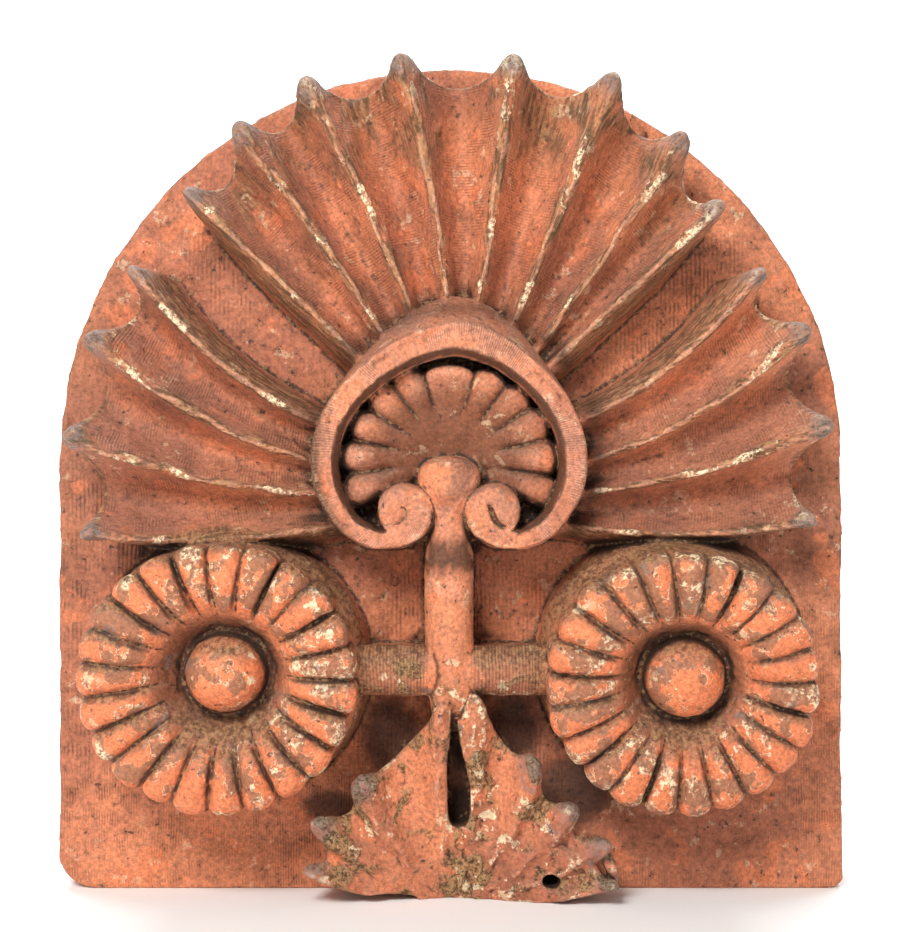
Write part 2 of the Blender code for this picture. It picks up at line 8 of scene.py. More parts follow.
import bmesh
import bpy
import mathutils
import numpy as np
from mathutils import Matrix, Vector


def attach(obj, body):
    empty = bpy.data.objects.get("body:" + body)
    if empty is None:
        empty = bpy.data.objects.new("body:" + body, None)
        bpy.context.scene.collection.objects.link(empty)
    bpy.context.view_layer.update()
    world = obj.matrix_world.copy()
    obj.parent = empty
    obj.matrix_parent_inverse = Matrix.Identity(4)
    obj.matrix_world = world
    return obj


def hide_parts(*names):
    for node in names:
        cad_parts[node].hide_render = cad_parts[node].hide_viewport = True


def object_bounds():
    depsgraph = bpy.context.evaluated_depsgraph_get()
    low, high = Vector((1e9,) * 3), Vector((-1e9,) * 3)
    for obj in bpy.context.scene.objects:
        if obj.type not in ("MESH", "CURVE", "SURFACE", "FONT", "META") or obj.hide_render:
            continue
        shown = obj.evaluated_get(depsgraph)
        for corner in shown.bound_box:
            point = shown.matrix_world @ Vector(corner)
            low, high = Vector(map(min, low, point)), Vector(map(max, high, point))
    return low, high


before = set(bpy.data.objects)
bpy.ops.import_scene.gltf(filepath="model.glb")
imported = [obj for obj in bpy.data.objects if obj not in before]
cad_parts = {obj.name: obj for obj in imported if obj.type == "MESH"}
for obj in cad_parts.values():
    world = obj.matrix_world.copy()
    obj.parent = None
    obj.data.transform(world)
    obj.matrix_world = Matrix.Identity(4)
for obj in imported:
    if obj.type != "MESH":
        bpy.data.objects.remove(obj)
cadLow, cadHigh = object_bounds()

slabFront = -0.038  # the slab's front face lies here on y
embed = 0.012  # how far a form goes into the slab


def mix(a, b, share):
    return a + (b - a) * share


def smoothStep(value, start, end):
    share = np.clip((value - start) / (end - start), 0.0, 1.0)
    return share * share * (3 - 2 * share)


def smoothCurve(table, places, steep=False):
    # a soft line through a table, level at both ends or steep at its start
    spots, levels = np.array(table, float).T
    steps = np.diff(spots)
    slopes = np.diff(levels) / steps
    tangents = np.zeros_like(levels)
    rising = slopes[:-1] * slopes[1:] > 0
    both = np.where(rising, slopes[:-1] + slopes[1:], 1.0)
    tangents[1:-1] = np.where(rising, 2 * slopes[:-1] * slopes[1:] / both, 0.0)
    if steep:
        tangents[0] = slopes[0] * 1.2
    places = np.clip(places, spots[0], spots[-1])
    i = np.clip(np.searchsorted(spots, places) - 1, 0, len(steps) - 1)
    t = (places - spots[i]) / steps[i]
    start = (2 * t**3 - 3 * t**2 + 1) * levels[i] + (t**3 - 2 * t**2 + t) * steps[i] * tangents[i]
    end = (3 * t**2 - 2 * t**3) * levels[i + 1] + (t**3 - t**2) * steps[i] * tangents[i + 1]
    return start + end


def spline(points, steps):  # a smooth line through control points of any number of values
    points = np.array(points, float)
    padded = np.vstack([points[:1], points, points[-1:]])
    t = np.linspace(0, 1, steps, endpoint=False)[:, None]
    line = []
    for a, b, c, d in zip(padded, padded[1:], padded[2:], padded[3:]):
        line.append(0.5 * (2 * b + (c - a) * t + (2 * a - 5 * b + 4 * c - d) * t**2
                           + (3 * b - a - 3 * c + d) * t**3))
    return np.vstack([*line, points[-1:]])


def polar(centre, angle, reach):  # degrees, clockwise from straight up
    turn = np.radians(angle)
    return centre[0] + reach * np.sin(turn), centre[1] + reach * np.cos(turn)


def inBlock(points):  # from x, z and rise to the block's own axes
    return np.stack([points[:, 0], slabFront - points[:, 2], points[:, 1]], axis=-1)


def pointValues(mesh, kind):  # a mesh's points or normals, with a row for each axis
    values = np.empty(len(mesh.vertices) * 3)
    mesh.vertices.foreach_get(kind, values)
    return values.reshape(-1, 3).T


def makeBody(name, points, faces):
    # points are x, z and rise; the faces end up turned outwards
    placed = inBlock(np.asarray(points, float).reshape(-1, 3))
    mesh = bpy.data.meshes.new(name)
    mesh.from_pydata(placed.tolist(), [], faces)
    mesh.validate()
    work = bmesh.new()
    work.from_mesh(mesh)
    if work.calc_volume(signed=True) < 0:
        bmesh.ops.reverse_faces(work, faces=work.faces)
        work.to_mesh(mesh)
    work.free()
    body = bpy.data.objects.new(name, mesh)
    bpy.context.scene.collection.objects.link(body)
    return body


def loopBody(name, loops):  # a closed body through loops of points, with flat ends
    loops = np.asarray(loops, float)
    index = np.arange(loops.shape[0] * loops.shape[1]).reshape(loops.shape[:2])
    here, there = index[:-1], index[1:]
    quads = np.stack([here, np.roll(here, -1, 1), np.roll(there, -1, 1), there], axis=-1)
    faces = quads.reshape(-1, 4).tolist() + [index[0][::-1].tolist(), index[-1].tolist()]
    return makeBody(name, loops, faces)


def turnedBody(name, centre, rows, count):  # rows are reach and rise
    angles = np.linspace(0, 360, count, endpoint=False)
    return loopBody(name, [np.stack([*polar(centre, angles, reach), np.full(count, rise)], axis=-1)
                           for reach, rise in rows])


def applied(body, name):  # the body with its modifiers made real
    graph = bpy.context.evaluated_depsgraph_get()
    mesh = bpy.data.meshes.new_from_object(body.evaluated_get(graph), depsgraph=graph)
    mesh.name = name
    body.modifiers.clear()
    old = body.data
    body.data = mesh
    bpy.data.meshes.remove(old)
    return body


def cutAway(body, cutters, solver="EXACT"):
    for cutter in cutters:
        cut = body.modifiers.new(cutter.name, "BOOLEAN")
        cut.operation = "DIFFERENCE"
        cut.solver = solver
        cut.object = cutter
    applied(body, body.name)
    for cutter in cutters:
        bpy.data.objects.remove(cutter, do_unlink=True)


def madeOneClay(body, voxel):  # what crosses itself or its neighbours becomes one skin
    remesh = body.modifiers.new("one clay", "REMESH")
    remesh.mode = "VOXEL"
    remesh.voxel_size = voxel
    return applied(body, body.name)


class Wiring:  # short ways to set nodes in one tree and to wire them up
    def __init__(self, tree):
        self.tree = tree

    def feed(self, socket, value):
        if isinstance(value, bpy.types.NodeSocket):
            self.tree.links.new(value, socket)
        elif value is not None:
            socket.default_value = value

    def add(self, kind, inputs=None, **settings):
        node = self.tree.nodes.new(kind)
        for name, value in settings.items():
            setattr(node, name, value)
        for name, value in (inputs or {}).items():
            self.feed(node.inputs[name], value)
        return node

    def sums(self, operation, a, b=0.0, c=0.0):
        node = self.add("ShaderNodeMath", operation=operation)
        for socket, value in zip(node.inputs, (a, b, c)):
            self.feed(socket, value)
        return node.outputs[0]

    def times(self, *values):
        return functools.reduce(lambda a, b: self.sums("MULTIPLY", a, b), values)

    def plus(self, *values):
        return functools.reduce(lambda a, b: self.sums("ADD", a, b), values)

    def most(self, *values):
        return functools.reduce(lambda a, b: self.sums("MAXIMUM", a, b), values)

    def less(self, a, b):
        return self.sums("SUBTRACT", a, b)

    def timesPlus(self, a, b, c):
        return self.sums("MULTIPLY_ADD", a, b, c)

    def vectors(self, operation, a, b=None):
        node = self.add("ShaderNodeVectorMath", operation=operation)
        for socket, value in zip(node.inputs, (a, b)):
            self.feed(socket, value)
        return node.outputs[1 if operation in ("DOT_PRODUCT", "LENGTH") else 0]

    def stretched(self, vector, size):
        node = self.add("ShaderNodeVectorMath", {0: vector, "Scale": size}, operation="SCALE")
        return node.outputs[0]

    def apart(self, vector):
        return self.add("ShaderNodeSeparateXYZ", {"Vector": vector}).outputs

    def fade(self, value, start, end, low=0.0, high=1.0):  # softly from low to high
        node = self.add("ShaderNodeMapRange",
                        {"Value": value, "From Min": start, "From Max": end, "To Min": low,
                         "To Max": high}, interpolation_type="SMOOTHSTEP")
        return node.outputs["Result"]

    def cloud(self, vector, scale, detail=3.0, roughness=0.5, distortion=0.0):
        node = self.add("ShaderNodeTexNoise",
                        {"Vector": vector, "Scale": scale, "Detail": detail,
                         "Roughness": roughness, "Distortion": distortion})
        return node.outputs["Fac"]

    def store(self, geometry, name, value):  # a number on each point
        return self.add("GeometryNodeStoreNamedAttribute",
                        {"Geometry": geometry, "Name": name, "Value": value},
                        data_type="FLOAT", domain="POINT")


def formTree(name, sockets):
    # an empty tree with named inputs, and the identifiers a modifier knows them by
    tree = bpy.data.node_groups.new(name, "GeometryNodeTree")
    keys = {}
    for title, kind in sockets:
        socket = tree.interface.new_socket(title, in_out="INPUT", socket_type="NodeSocket" + kind)
        keys[title] = socket.identifier
    tree.interface.new_socket("Geometry", in_out="OUTPUT", socket_type="NodeSocketGeometry")
    wires = Wiring(tree)
    return wires, wires.add("NodeGroupInput").outputs, keys


def endTree(wires, geometry, clayInput):  # every tree ends real and in its clay
    real = wires.add("GeometryNodeRealizeInstances", {"Geometry": geometry})
    done = wires.add("GeometryNodeSetMaterial",
                     {"Geometry": real.outputs[0], "Material": clayInput})
    wires.add("NodeGroupOutput", {"Geometry": done.outputs[0]})


def withNodes(body, name, group, keys, values):  # a nodes modifier with its inputs filled
    nodes = body.modifiers.new(name, "NODES")
    nodes.node_group = group
    for key, value in values.items():
        nodes[keys[key]] = value

clayForms = []

# Slab

slab = {
    "width": 0.560,
    "height": 0.585,
    "thickness": 0.076,
    "arris": 0.0030,  # worn edge round the arch
    "leftWear": 0.026,  # the lower left corner is worn round
    "rightWear": 0.009,
    "waver": 0.0009,  # the hand-cut edge isn't true
}
archRadius = slab["width"] / 2
archCentre = (0.0, slab["height"] - archRadius)


def wornCorner(wear, side, start, count):  # a rounded lower corner of the slab
    corner = np.linspace(start, start + math.pi / 2, count)
    middle = side * (archRadius - wear)
    return np.stack([middle + wear * np.cos(corner), wear + wear * np.sin(corner)], -1)


def slabForm():
    turn = np.linspace(0, math.pi, 220)
    outline = np.stack([archRadius * np.cos(turn), archCentre[1] + archRadius * np.sin(turn)], -1)
    left = wornCorner(slab["leftWear"], -1, math.pi, 14)
    right = wornCorner(slab["rightWear"], 1, 1.5 * math.pi, 10)
    sideUp = np.linspace(left[0], outline[-1], 60)[::-1][1:-1]
    sideDown = np.linspace(right[-1], outline[0], 60)[1:-1]
    outline = np.vstack([outline, sideUp, left, right, sideDown])
    middle = np.clip(outline[:, 1], 0.0, archCentre[1])
    away = np.stack([outline[:, 0], outline[:, 1] - middle], -1)
    length = np.hypot(*away.T)
    around = np.arctan2(away[:, 0], away[:, 1]) + outline[:, 1] * 9
    waver = slab["waver"] * (np.sin(around * 7) * 0.5 + np.sin(around * 17 + 1) * 0.3
                             + np.sin(around * 31 + 2) * 0.2 - 1.0)
    waver = waver * smoothStep(outline[:, 1], 0.01, 0.06)
    edge = [(1 - math.sin(a), (1 - math.cos(a)) * slab["arris"])
            for a in np.radians([0, 22, 45, 68, 90])]
    loops = []
    for inset, depth in edge + [(a, slab["thickness"] - b) for a, b in reversed(edge)]:
        share = 1 - (inset * slab["arris"] - waver) / length
        ring = np.stack([away[:, 0] * share, middle + away[:, 1] * share], -1)
        ring[:, 1] = np.maximum(ring[:, 1], 0.0)
        loops.append(np.column_stack([ring, np.full(len(ring), -depth)]))
    return loopBody("slab", loops)


clayForms.append(slabForm())
print("slab pressed")

# Leaf fans and the leaf at the foot

fan = {
    "centre": (0.004, archCentre[1] + 0.006),
    "reach": archRadius - 0.0045,
    "across": 26,
    "along": 64,
    "footReach": 0.088,
    "footRise": 0.036,
    "tipRise": 0.060,
    "hollow": 0.66,  # depth of a flute as a share of its width
    "footHollow": 1.0,
    "crest": (0.0021, 0.0044, 0.0042),  # half width of a rib's round back, and more at its tip
    "scallop": 0.0180,
    "undercut": 0.026,
    "fluteUndercut": 0.15,
    "flank": 0.015,
    "tipFlank": 0.55,
    "nose": 0.0072,  # the beaks' ends are blunt
    "rim": 0.0026,
    "wander": 0.0012,
}
leaf = {
    "centre": (0.003, -0.008),
    "reach": 0.115,
    "across": 22,
    "along": 48,
    "footReach": 0.004,
    "footRise": 0.030,
    "tipRise": 0.064,
    "hollow": 0.38,
    "footHollow": 0.15,
    "crest": (0.0040, 0.0080, 0.0020),
    "scallop": 0.0165,
    "undercut": 0.022,
    "fluteUndercut": 0.15,
    "flank": 0.012,
    "tipFlank": 0.55,
    "nose": 0.0058,
    "rim": 0.0032,
    "wander": 0.0016,
}
widestFlank = 25.0  # degrees, near a fan's foot
flankFoot = -0.004
crestFall = 0.85  # how far round a rib's back its crest goes

# From the edge of a rib's crest to the flute's middle: share of the hollow, and of the scallop
fluteHollow = ((0, 0), (0.04, 0.18), (0.09, 0.38), (0.16, 0.58), (0.25, 0.77), (0.36, 0.93),
               (0.5, 1))
fluteScallop = ((0, 0), (0.04, 0.22), (0.10, 0.45), (0.18, 0.66), (0.28, 0.83), (0.39, 0.94),
                (0.5, 1))

# Ribs: angle of the tip and of the foot, reach as a share, and how early the rib turns
upperRibs = (
    (-46.4, -46.0, 0.940, 1.0),
    (-34.0, -31.5, 0.985, 1.0),
    (-22.3, -17.5, 1.005, 1.0),
    (-7.9, -3.0, 1.000, 1.0),
    (8.3, 9.0, 1.000, 1.0),
    (22.8, 24.0, 1.025, 1.0),
    (36.0, 38.0, 0.978, 1.0),
    (47.5, 47.5, 0.910, 1.0),
)
leftRibs = (
    (-103.0, -126.0, 0.962, 0.60),
    (-87.9, -112.0, 0.984, 0.60),
    (-73.0, -97.0, 0.968, 0.75),
    (-60.4, -79.0, 0.936, 1.00),
)
rightRibs = (
    (59.2, 76.0, 0.893, 1.00),
    (70.9, 96.0, 0.934, 0.75),
    (86.0, 111.0, 0.940, 0.60),
    (101.6, 127.0, 0.915, 0.60),
)
leafRibs = (
    (-73.7, -84.0, 0.944, 0.7),
    (-56.2, -68.0, 1.032, 0.9),
    (-35.5, -48.0, 1.018, 1.0),
    (-2.9, -14.0, 1.299, 0.8),
    (5.1, 16.0, 1.344, 0.8),
    (27.4, 42.0, 1.067, 1.0),
    (47.7, 62.0, 0.985, 1.0),
    (64.2, 76.0, 1.030, 0.9),
    (79.3, 86.0, 0.991, 0.7),
)


def fanForm(name, ribs, shape):
    ribs = np.array(ribs)
    last = len(ribs) - 2
    share = np.linspace(0, 1, shape["across"] + 1)
    share = share - 0.055 * np.sin(4 * math.pi * share)  # closer together by the ribs
    flanks = np.linspace(1, 0, 9)[:-1]
    columns = [(0, 0.0, -f) for f in flanks]
    for i in range(last + 1):
        columns += [(i, place, 0.0) for place in share[:-1]]
    columns.append((last, 1.0, 0.0))
    columns += [(last, 1.0, f) for f in flanks[::-1]]
    first, share, flank = np.array(columns).T[:, :, None]
    low, high = ribs[first[:, 0].astype(int)], ribs[first[:, 0].astype(int) + 1]
    low, high = low.T[:, :, None], high.T[:, :, None]

    t = (1 - (1 - np.linspace(0, 1, shape["along"])) ** 1.25)[None, :]
    slope = np.abs(flank)
    lowAngle = mix(low[1], low[0], t ** low[3])
    highAngle = mix(high[1], high[0], t ** high[3])
    tipReach = mix(low[2], high[2], share) * shape["reach"]
    width = mix(shape["footReach"], tipReach, t) * np.radians(np.abs(highAngle - lowAngle))

    # the round back of a rib, then the hollow of the flute beside it
    footCrest, tipCrest, thumb = shape["crest"]
    crest = np.minimum(mix(footCrest, tipCrest, t) + thumb * t**12, 0.21 * width)
    aside = np.minimum(share, 1 - share) * width
    beyond = 0.5 * np.clip((aside - crest) / (width / 2 - crest), 0, 1)
    deep = smoothCurve(fluteHollow, beyond, steep=True)
    drop = crest * (1 - np.sqrt(1 - crestFall * np.minimum(aside / crest, 1) ** 2))
    fullDrop = crest * (1 - math.sqrt(1 - crestFall))
    hollow = shape["hollow"] * mix(shape["footHollow"], 1.0, t) * width
    ridge = mix(shape["footRise"], shape["tipRise"], t)
    wander = np.sin(t * 17 + first * 2.1) + 0.6 * np.sin(t * 37 + first * 4.7)
    rise = ridge - drop - np.maximum(hollow - fullDrop, 0) * deep
    rise = rise + shape["wander"] * wander * (1 - deep)

    deepTip = deep[:, -1:]
    nose = mix(shape["nose"], shape["rim"], np.minimum(1.0, deepTip * 1.6))
    back = smoothCurve(fluteScallop, beyond[:, -1:], steep=True)
    tipReach = tipReach - shape["scallop"] * back - 1.3 * drop[:, -1:] * (1 - back)
    reach = mix(shape["footReach"], tipReach - nose, t)
    angle = mix(lowAngle, highAngle, share)
    spread = np.degrees(shape["flank"] * mix(1.0, shape["tipFlank"], t**4) / reach)
    angle = angle + flank * np.minimum(spread, widestFlank)
    undercut = shape["undercut"] * mix(1.0, shape["fluteUndercut"], deepTip)
    reach = reach - undercut * t**3 * slope**2
    fall = 0.35 * slope**2 + 0.65 * smoothStep(slope, 0, 1)
    rise = mix(np.maximum(rise, flankFoot), flankFoot, fall)

    end = t.shape[1] - 1
    tipAngle, tipRise = angle[:, end:], rise[:, end:]
    topReach = reach[:, end:]
    bow = np.radians(np.array([70, 50, 30, 10, -10, -30, -50, -70]))[None, :]
    noseReach = topReach + nose * np.cos(bow)
    noseRise = tipRise - nose + nose * np.sin(bow)
    down = np.linspace(0, 1, 10)[None, 1:]
    floorReach = tipReach - undercut
    wallReach = mix(noseReach[:, -1:], np.minimum(floorReach, topReach), 1 - (1 - down) ** 2)
    wallRise = mix(noseRise[:, -1:], -embed, down)
    foot = np.full_like(tipRise, -embed)
    angles = np.hstack([angle[:, :1], angle, tipAngle + 0 * noseReach, tipAngle + 0 * wallReach])
    reaches = np.hstack([reach[:, :1], reach, noseReach, wallReach])
    rises = np.hstack([foot, rise, noseRise, wallRise])
    x, z = polar(shape["centre"], angles, reaches)
    return loopBody(name, np.stack([x, z, rises], axis=-1))


clayForms += [
    fanForm("upper fan", upperRibs, fan),
    fanForm("left fan", leftRibs, fan),
    fanForm("right fan", rightRibs, fan),
]
print("three fans drawn")

slot = {
    "floor": 0.008,
    "edges": (  # height, middle and half width, from its round foot up to its point
        (0.0505, 0.0060, 0.0016), (0.0515, 0.0060, 0.0042), (0.0540, 0.0060, 0.0064),
        (0.0580, 0.0060, 0.0078), (0.0640, 0.0060, 0.0083), (0.0780, 0.0058, 0.0081),
        (0.0910, 0.0046, 0.0071), (0.1024, 0.0035, 0.0053), (0.1110, 0.0030, 0.0038),
        (0.1188, 0.0026, 0.0028), (0.1304, 0.0020, 0.0018), (0.1430, 0.0012, 0.0006),
    ),
}
damage = {
    "hole": (0.0695, 0.0150, 0.0062),  # x, z and radius of the round hole in the leaf
    "arch": (-0.052, 0.030, 0.0055),  # x, half width and height of the gap under its left edge
}
curls = (  # small folds of clay that curl beside the hole: x, z, rise and radius
    ((0.0640, 0.0300, 0.044, 0.0028), (0.0700, 0.0360, 0.049, 0.0040),
     (0.0790, 0.0340, 0.050, 0.0048), (0.0850, 0.0240, 0.049, 0.0046),
     (0.0870, 0.0140, 0.044, 0.0034)),
    ((0.0900, 0.0430, 0.048, 0.0026), (0.0925, 0.0330, 0.052, 0.0038),
     (0.0985, 0.0220, 0.052, 0.0042), (0.1070, 0.0150, 0.046, 0.0030)),
    ((0.1010, 0.0420, 0.048, 0.0024), (0.1065, 0.0330, 0.052, 0.0036),
     (0.1110, 0.0230, 0.050, 0.0038), (0.1130, 0.0130, 0.044, 0.0026)),
)


def unitSteps(line):  # which way a line of x and z goes at each of its points
    step = np.gradient(line[:, :2], axis=0)
    return step / np.hypot(*step.T)[:, None]


def ropeBody(name, spots):  # a round rope of clay through x, z, rise and radius
    line = spline(spots, 8)
    turn = np.linspace(0, 2 * math.pi, 14, endpoint=False)
    loops = []
    for (x, z, rise, radius), (alongX, alongZ) in zip(line, unitSteps(line)):
        across = radius * np.cos(turn)
        loops.append(np.stack([x - alongZ * across, z + alongX * across,
                               rise + radius * np.sin(turn)], axis=-1))
    return loopBody(name, loops)


def leafForm():
    body = madeOneClay(fanForm("leaf", leafRibs, leaf), 0.0010)
    outline = [(middle + half, z) for z, middle, half in slot["edges"]]
    outline += [(middle - half, z) for z, middle, half in reversed(slot["edges"])]
    loops = [[(x, z, rise) for x, z in outline] for rise in (slot["floor"], 0.12)]
    cutters = [loopBody("slot cutter", loops)]
    far = slab["width"]
    below = [[(-far, z, -far), (far, z, -far), (far, z, far), (-far, z, far)]
             for z in (-0.05, 0.0)]
    cutters.append(loopBody("ground cutter", below))
    x, z, radius = damage["hole"]
    turn = np.linspace(0, 2 * math.pi, 20, endpoint=False)
    rows = ((0.7, 0.010), (0.95, 0.025), (1.15, 0.080))
    loops = [[(x + radius * k * math.cos(a), z + radius * k * 0.8 * math.sin(a), rise)
              for a in turn] for k, rise in rows]
    cutters.append(loopBody("hole cutter", loops))
    x, half, height = damage["arch"]
    loops = [[(x + half * math.cos(a), height * math.sin(a), rise) for a in turn]
             for rise in (0.001, 0.09)]
    cutters.append(loopBody("arch cutter", loops))
    cutAway(body, cutters, "MANIFOLD")
    return body


clayForms.append(leafForm())
clayForms += [ropeBody("curl", spots) for spots in curls]
print("leaf cut")

# Horseshoe band, volutes and the recess inside

band = {
    "centre": (-0.001, fan["centre"][1]),
    "rise": 0.066,
    "width": 0.0185,
    "flank": 0.0024,
    "crownFlank": 0.026,
    "halfSpan": 0.0845,
    "crownShift": 0.066,
    "bevel": 0.0044,
    "lip": 0.0010,  # the raised arris along its outer edge
    "dish": 0.0010,
    "recess": 0.026,
}
bandLine = (  # on the left from the crown down, as shares of the half span, and the width
    (0.00, 0.905, 1.22),
    (-0.313, 0.823, 1.10),
    (-0.544, 0.688, 1.02),
    (-0.742, 0.518, 0.98),
    (-0.865, 0.361, 0.97),
    (-0.957, 0.173, 0.96),
    (-1.00, -0.055, 0.93),
    (-0.975, -0.275, 0.90),
    (-0.895, -0.455, 0.84),
    (-0.79, -0.595, 0.80),
    (-0.625, -0.685, 0.74),
    (-0.485, -0.700, 0.70),
    (-0.365, -0.680, 0.68),
    (-0.265, -0.625, 0.62),
    (-0.195, -0.530, 0.54),
)
volute = {
    "radius": 0.0185,
    "offset": (0.0300, -0.0410),
    "flare": 0.002,
    "crown": 0.0016,
    "round": 0.0042,
    "grooveWidth": 0.0032,
    "grooveDepth": 0.0055,
}


def bandPath():
    half = band["halfSpan"]
    left = [(x, z, w) for x, z, w in reversed(bandLine)]
    right = [(-x, z, w) for x, z, w in bandLine[1:]]
    line = spline(left + right, 14)
    shift = band["crownShift"] * np.maximum(0.0, line[:, 1]) ** 3
    x = band["centre"][0] + (line[:, 0] + shift) * half
    return np.stack([x, band["centre"][1] + line[:, 1] * half, line[:, 2]], axis=-1)


def bandForms():
    path = bandPath()
    out = unitSteps(path)[:, ::-1] * (-1, 1)
    top, lip = band["rise"], band["lip"]
    loops = []
    for (x, z, share), (outX, outZ) in zip(path, out):
        half = band["width"] * share / 2
        crown = max(0.0, z - band["centre"][1]) / band["halfSpan"]
        spread = band["flank"] + band["crownFlank"] * crown**4
        bevel = band["bevel"] * share
        profile = [(half + spread + 0.001, -embed), (half + spread, 0.030)]
        profile += [(half + mix(spread, 0.0008, s), mix(0.036, top - 0.0030, s) - 0.0010 *
                     math.sin(math.pi * s)) for s in (0.0, 0.3, 0.6, 0.85, 1.0)]
        profile += [(half + 0.0003, top - 0.0010), (half - 0.0006, top + lip * 0.8),
                    (half - 0.0016, top + lip), (half - 0.0028, top + lip * 0.2)]
        inner = -half + bevel
        profile += [(mix(half - 0.0038, inner, s), top - band["dish"] * math.sin(math.pi * s) *
                     share) for s in (0.0, 0.25, 0.5, 0.75, 1.0)]
        profile += [(inner - bevel * 0.18, top - 0.0012), (inner - bevel * 0.48, top - 0.0045),
                    (inner - bevel * 0.75, top - 0.0085), (-half, top - 0.0130),
                    (-half - 0.0004, -embed)]
        loops.append([(x + outX * a, z + outZ * a, rise) for a, rise in profile])
    recess = [[(x, z, rise) for x, z, w in path] for rise in (-embed, band["recess"])]
    return [loopBody("horseshoe band", loops), loopBody("recess", recess)]


def voluteCentre(side):
    return (band["centre"][0] + side * volute["offset"][0],
            band["centre"][1] + volute["offset"][1])


def voluteForm(name, side):
    radius, soft, top = volute["radius"], volute["round"], band["rise"]
    rows = [(radius + volute["flare"], -embed), (radius + 0.0005, top - soft * 2)]
    for a in np.radians([0, 20, 40, 60, 80]):
        rows.append((radius - soft + soft * math.cos(a), top - soft + soft * math.sin(a)))
    for share in (0.6, 0.4, 0.2, 0.03):
        rows.append((radius * share, top + volute["crown"] * (1 - share**2)))
    return turnedBody(name, voluteCentre(side), rows, 64)


def trench(name, spots, top):  # cuts a groove along x, z, width and depth
    line = spline(spots, 8)
    loops = []
    for (x, z, width, depth), (alongX, alongZ) in zip(line, unitSteps(line)):
        half, floor = width / 2, top - depth
        section = ((half * 1.5, 0.09), (half, floor + 0.002), (half * 0.4, floor),
                   (-half * 0.4, floor), (-half, floor + 0.002), (-half * 1.5, 0.09))
        loops.append([(x - alongZ * a, z + alongX * a, rise) for a, rise in section])
    return loopBody(name, loops)


def hookSpots(side, table):  # from shares of the volute's radius, groove width and groove depth
    x, z = voluteCentre(side)
    radius, width, depth = volute["radius"], volute["grooveWidth"], volute["grooveDepth"]
    return [(x + a * radius, z + b * radius, w * width, d * depth) for a, b, w, d in table]


rightHook = (  # from the band's inner edge under the eye and up to its hooked end
    (0.98, -0.13, 0.6, 0.60), (0.80, -0.38, 0.7, 0.68), (0.54, -0.51, 0.8, 0.76),
    (0.25, -0.49, 1.1, 0.95), (0.07, -0.31, 1.3, 1.00), (-0.02, -0.09, 1.3, 1.00),
    (-0.11, 0.16, 1.1, 0.90), (-0.23, 0.29, 0.7, 0.60),
)
leftHook = (
    (-0.85, -0.35, 0.9, 0.50), (-0.50, -0.50, 1.0, 0.55), (-0.20, -0.42, 1.2, 0.55),
    (0.00, -0.20, 1.3, 0.55), (0.05, 0.00, 1.3, 0.55), (-0.05, 0.15, 1.2, 0.50),
    (-0.20, 0.15, 1.0, 0.40),
)

horseshoe, recess = bandForms()
leftVolute = voluteForm("left volute", -1)
rightVolute = voluteForm("right volute", 1)
voluteTop = band["rise"] + volute["crown"]
cutAway(rightVolute, [trench("right hook", hookSpots(1, rightHook), voluteTop)])
cutAway(leftVolute, [trench("left hook", hookSpots(-1, leftHook), voluteTop)])
clayForms += [horseshoe, recess, leftVolute, rightVolute]
print("band and volutes rolled")

# Rounded bars in a ring: the rosettes' petals and the palmette's lobes

petal = {
    "count": 23,
    "fill": 0.955,  # of its share of the ring
    "start": 0.30,
    "groove": 0.0125,
    "plump": 2.3,
    "notch": 0.060,
    "nose": 0.0095,
    "sideNose": 0.0050,
    "base": 0.030,
    "crest": ((0.30, 0.0465), (0.36, 0.0485), (0.43, 0.0560), (0.51, 0.0670), (0.60, 0.0765),
              (0.72, 0.0832), (0.85, 0.0862), (1.0, 0.0850)),
    "shows": ((0.30, 0), (0.42, 0.03), (0.48, 0.25), (0.56, 0.70), (0.68, 1), (1.0, 1)),
}
lobe = {
    "reach": 0.0740,
    "start": 0.05,
    "groove": 0.0140,
    "plump": 2.2,
    "notch": 0.10,
    "nose": 0.0080,
    "sideNose": 0.0040,
    "base": 0.0,
    "crest": ((0.05, 0.0365), (0.25, 0.0385), (0.45, 0.0430), (0.65, 0.0480), (0.82, 0.0520),
              (0.92, 0.0520), (1.0, 0.0508)),
    "shows": ((0.05, 0), (0.36, 0.03), (0.50, 0.28), (0.64, 0.75), (0.80, 1), (1.0, 1)),
}
crownLobe = {
    **lobe,
    "reach": 0.0668,
    "plump": 4.0,
    "notch": 0.085,
    "crest": ((0.05, 0.0365), (0.25, 0.0390), (0.45, 0.0420), (0.65, 0.0455), (0.80, 0.0480),
              (0.88, 0.0495), (0.93, 0.0522), (0.97, 0.0526), (1.0, 0.0522)),
    "nose": 0.0040,
    "sideNose": 0.0036,
}
palmette = {
    "centre": (band["centre"][0], band["centre"][1] - 0.0065),
    "sideLobes": 5,
    "crownHalfAngle": 16.5,
    "halfAngle": 118.0,
    "crownReach": 0.905,
    "lowestReach": 1.03,
}


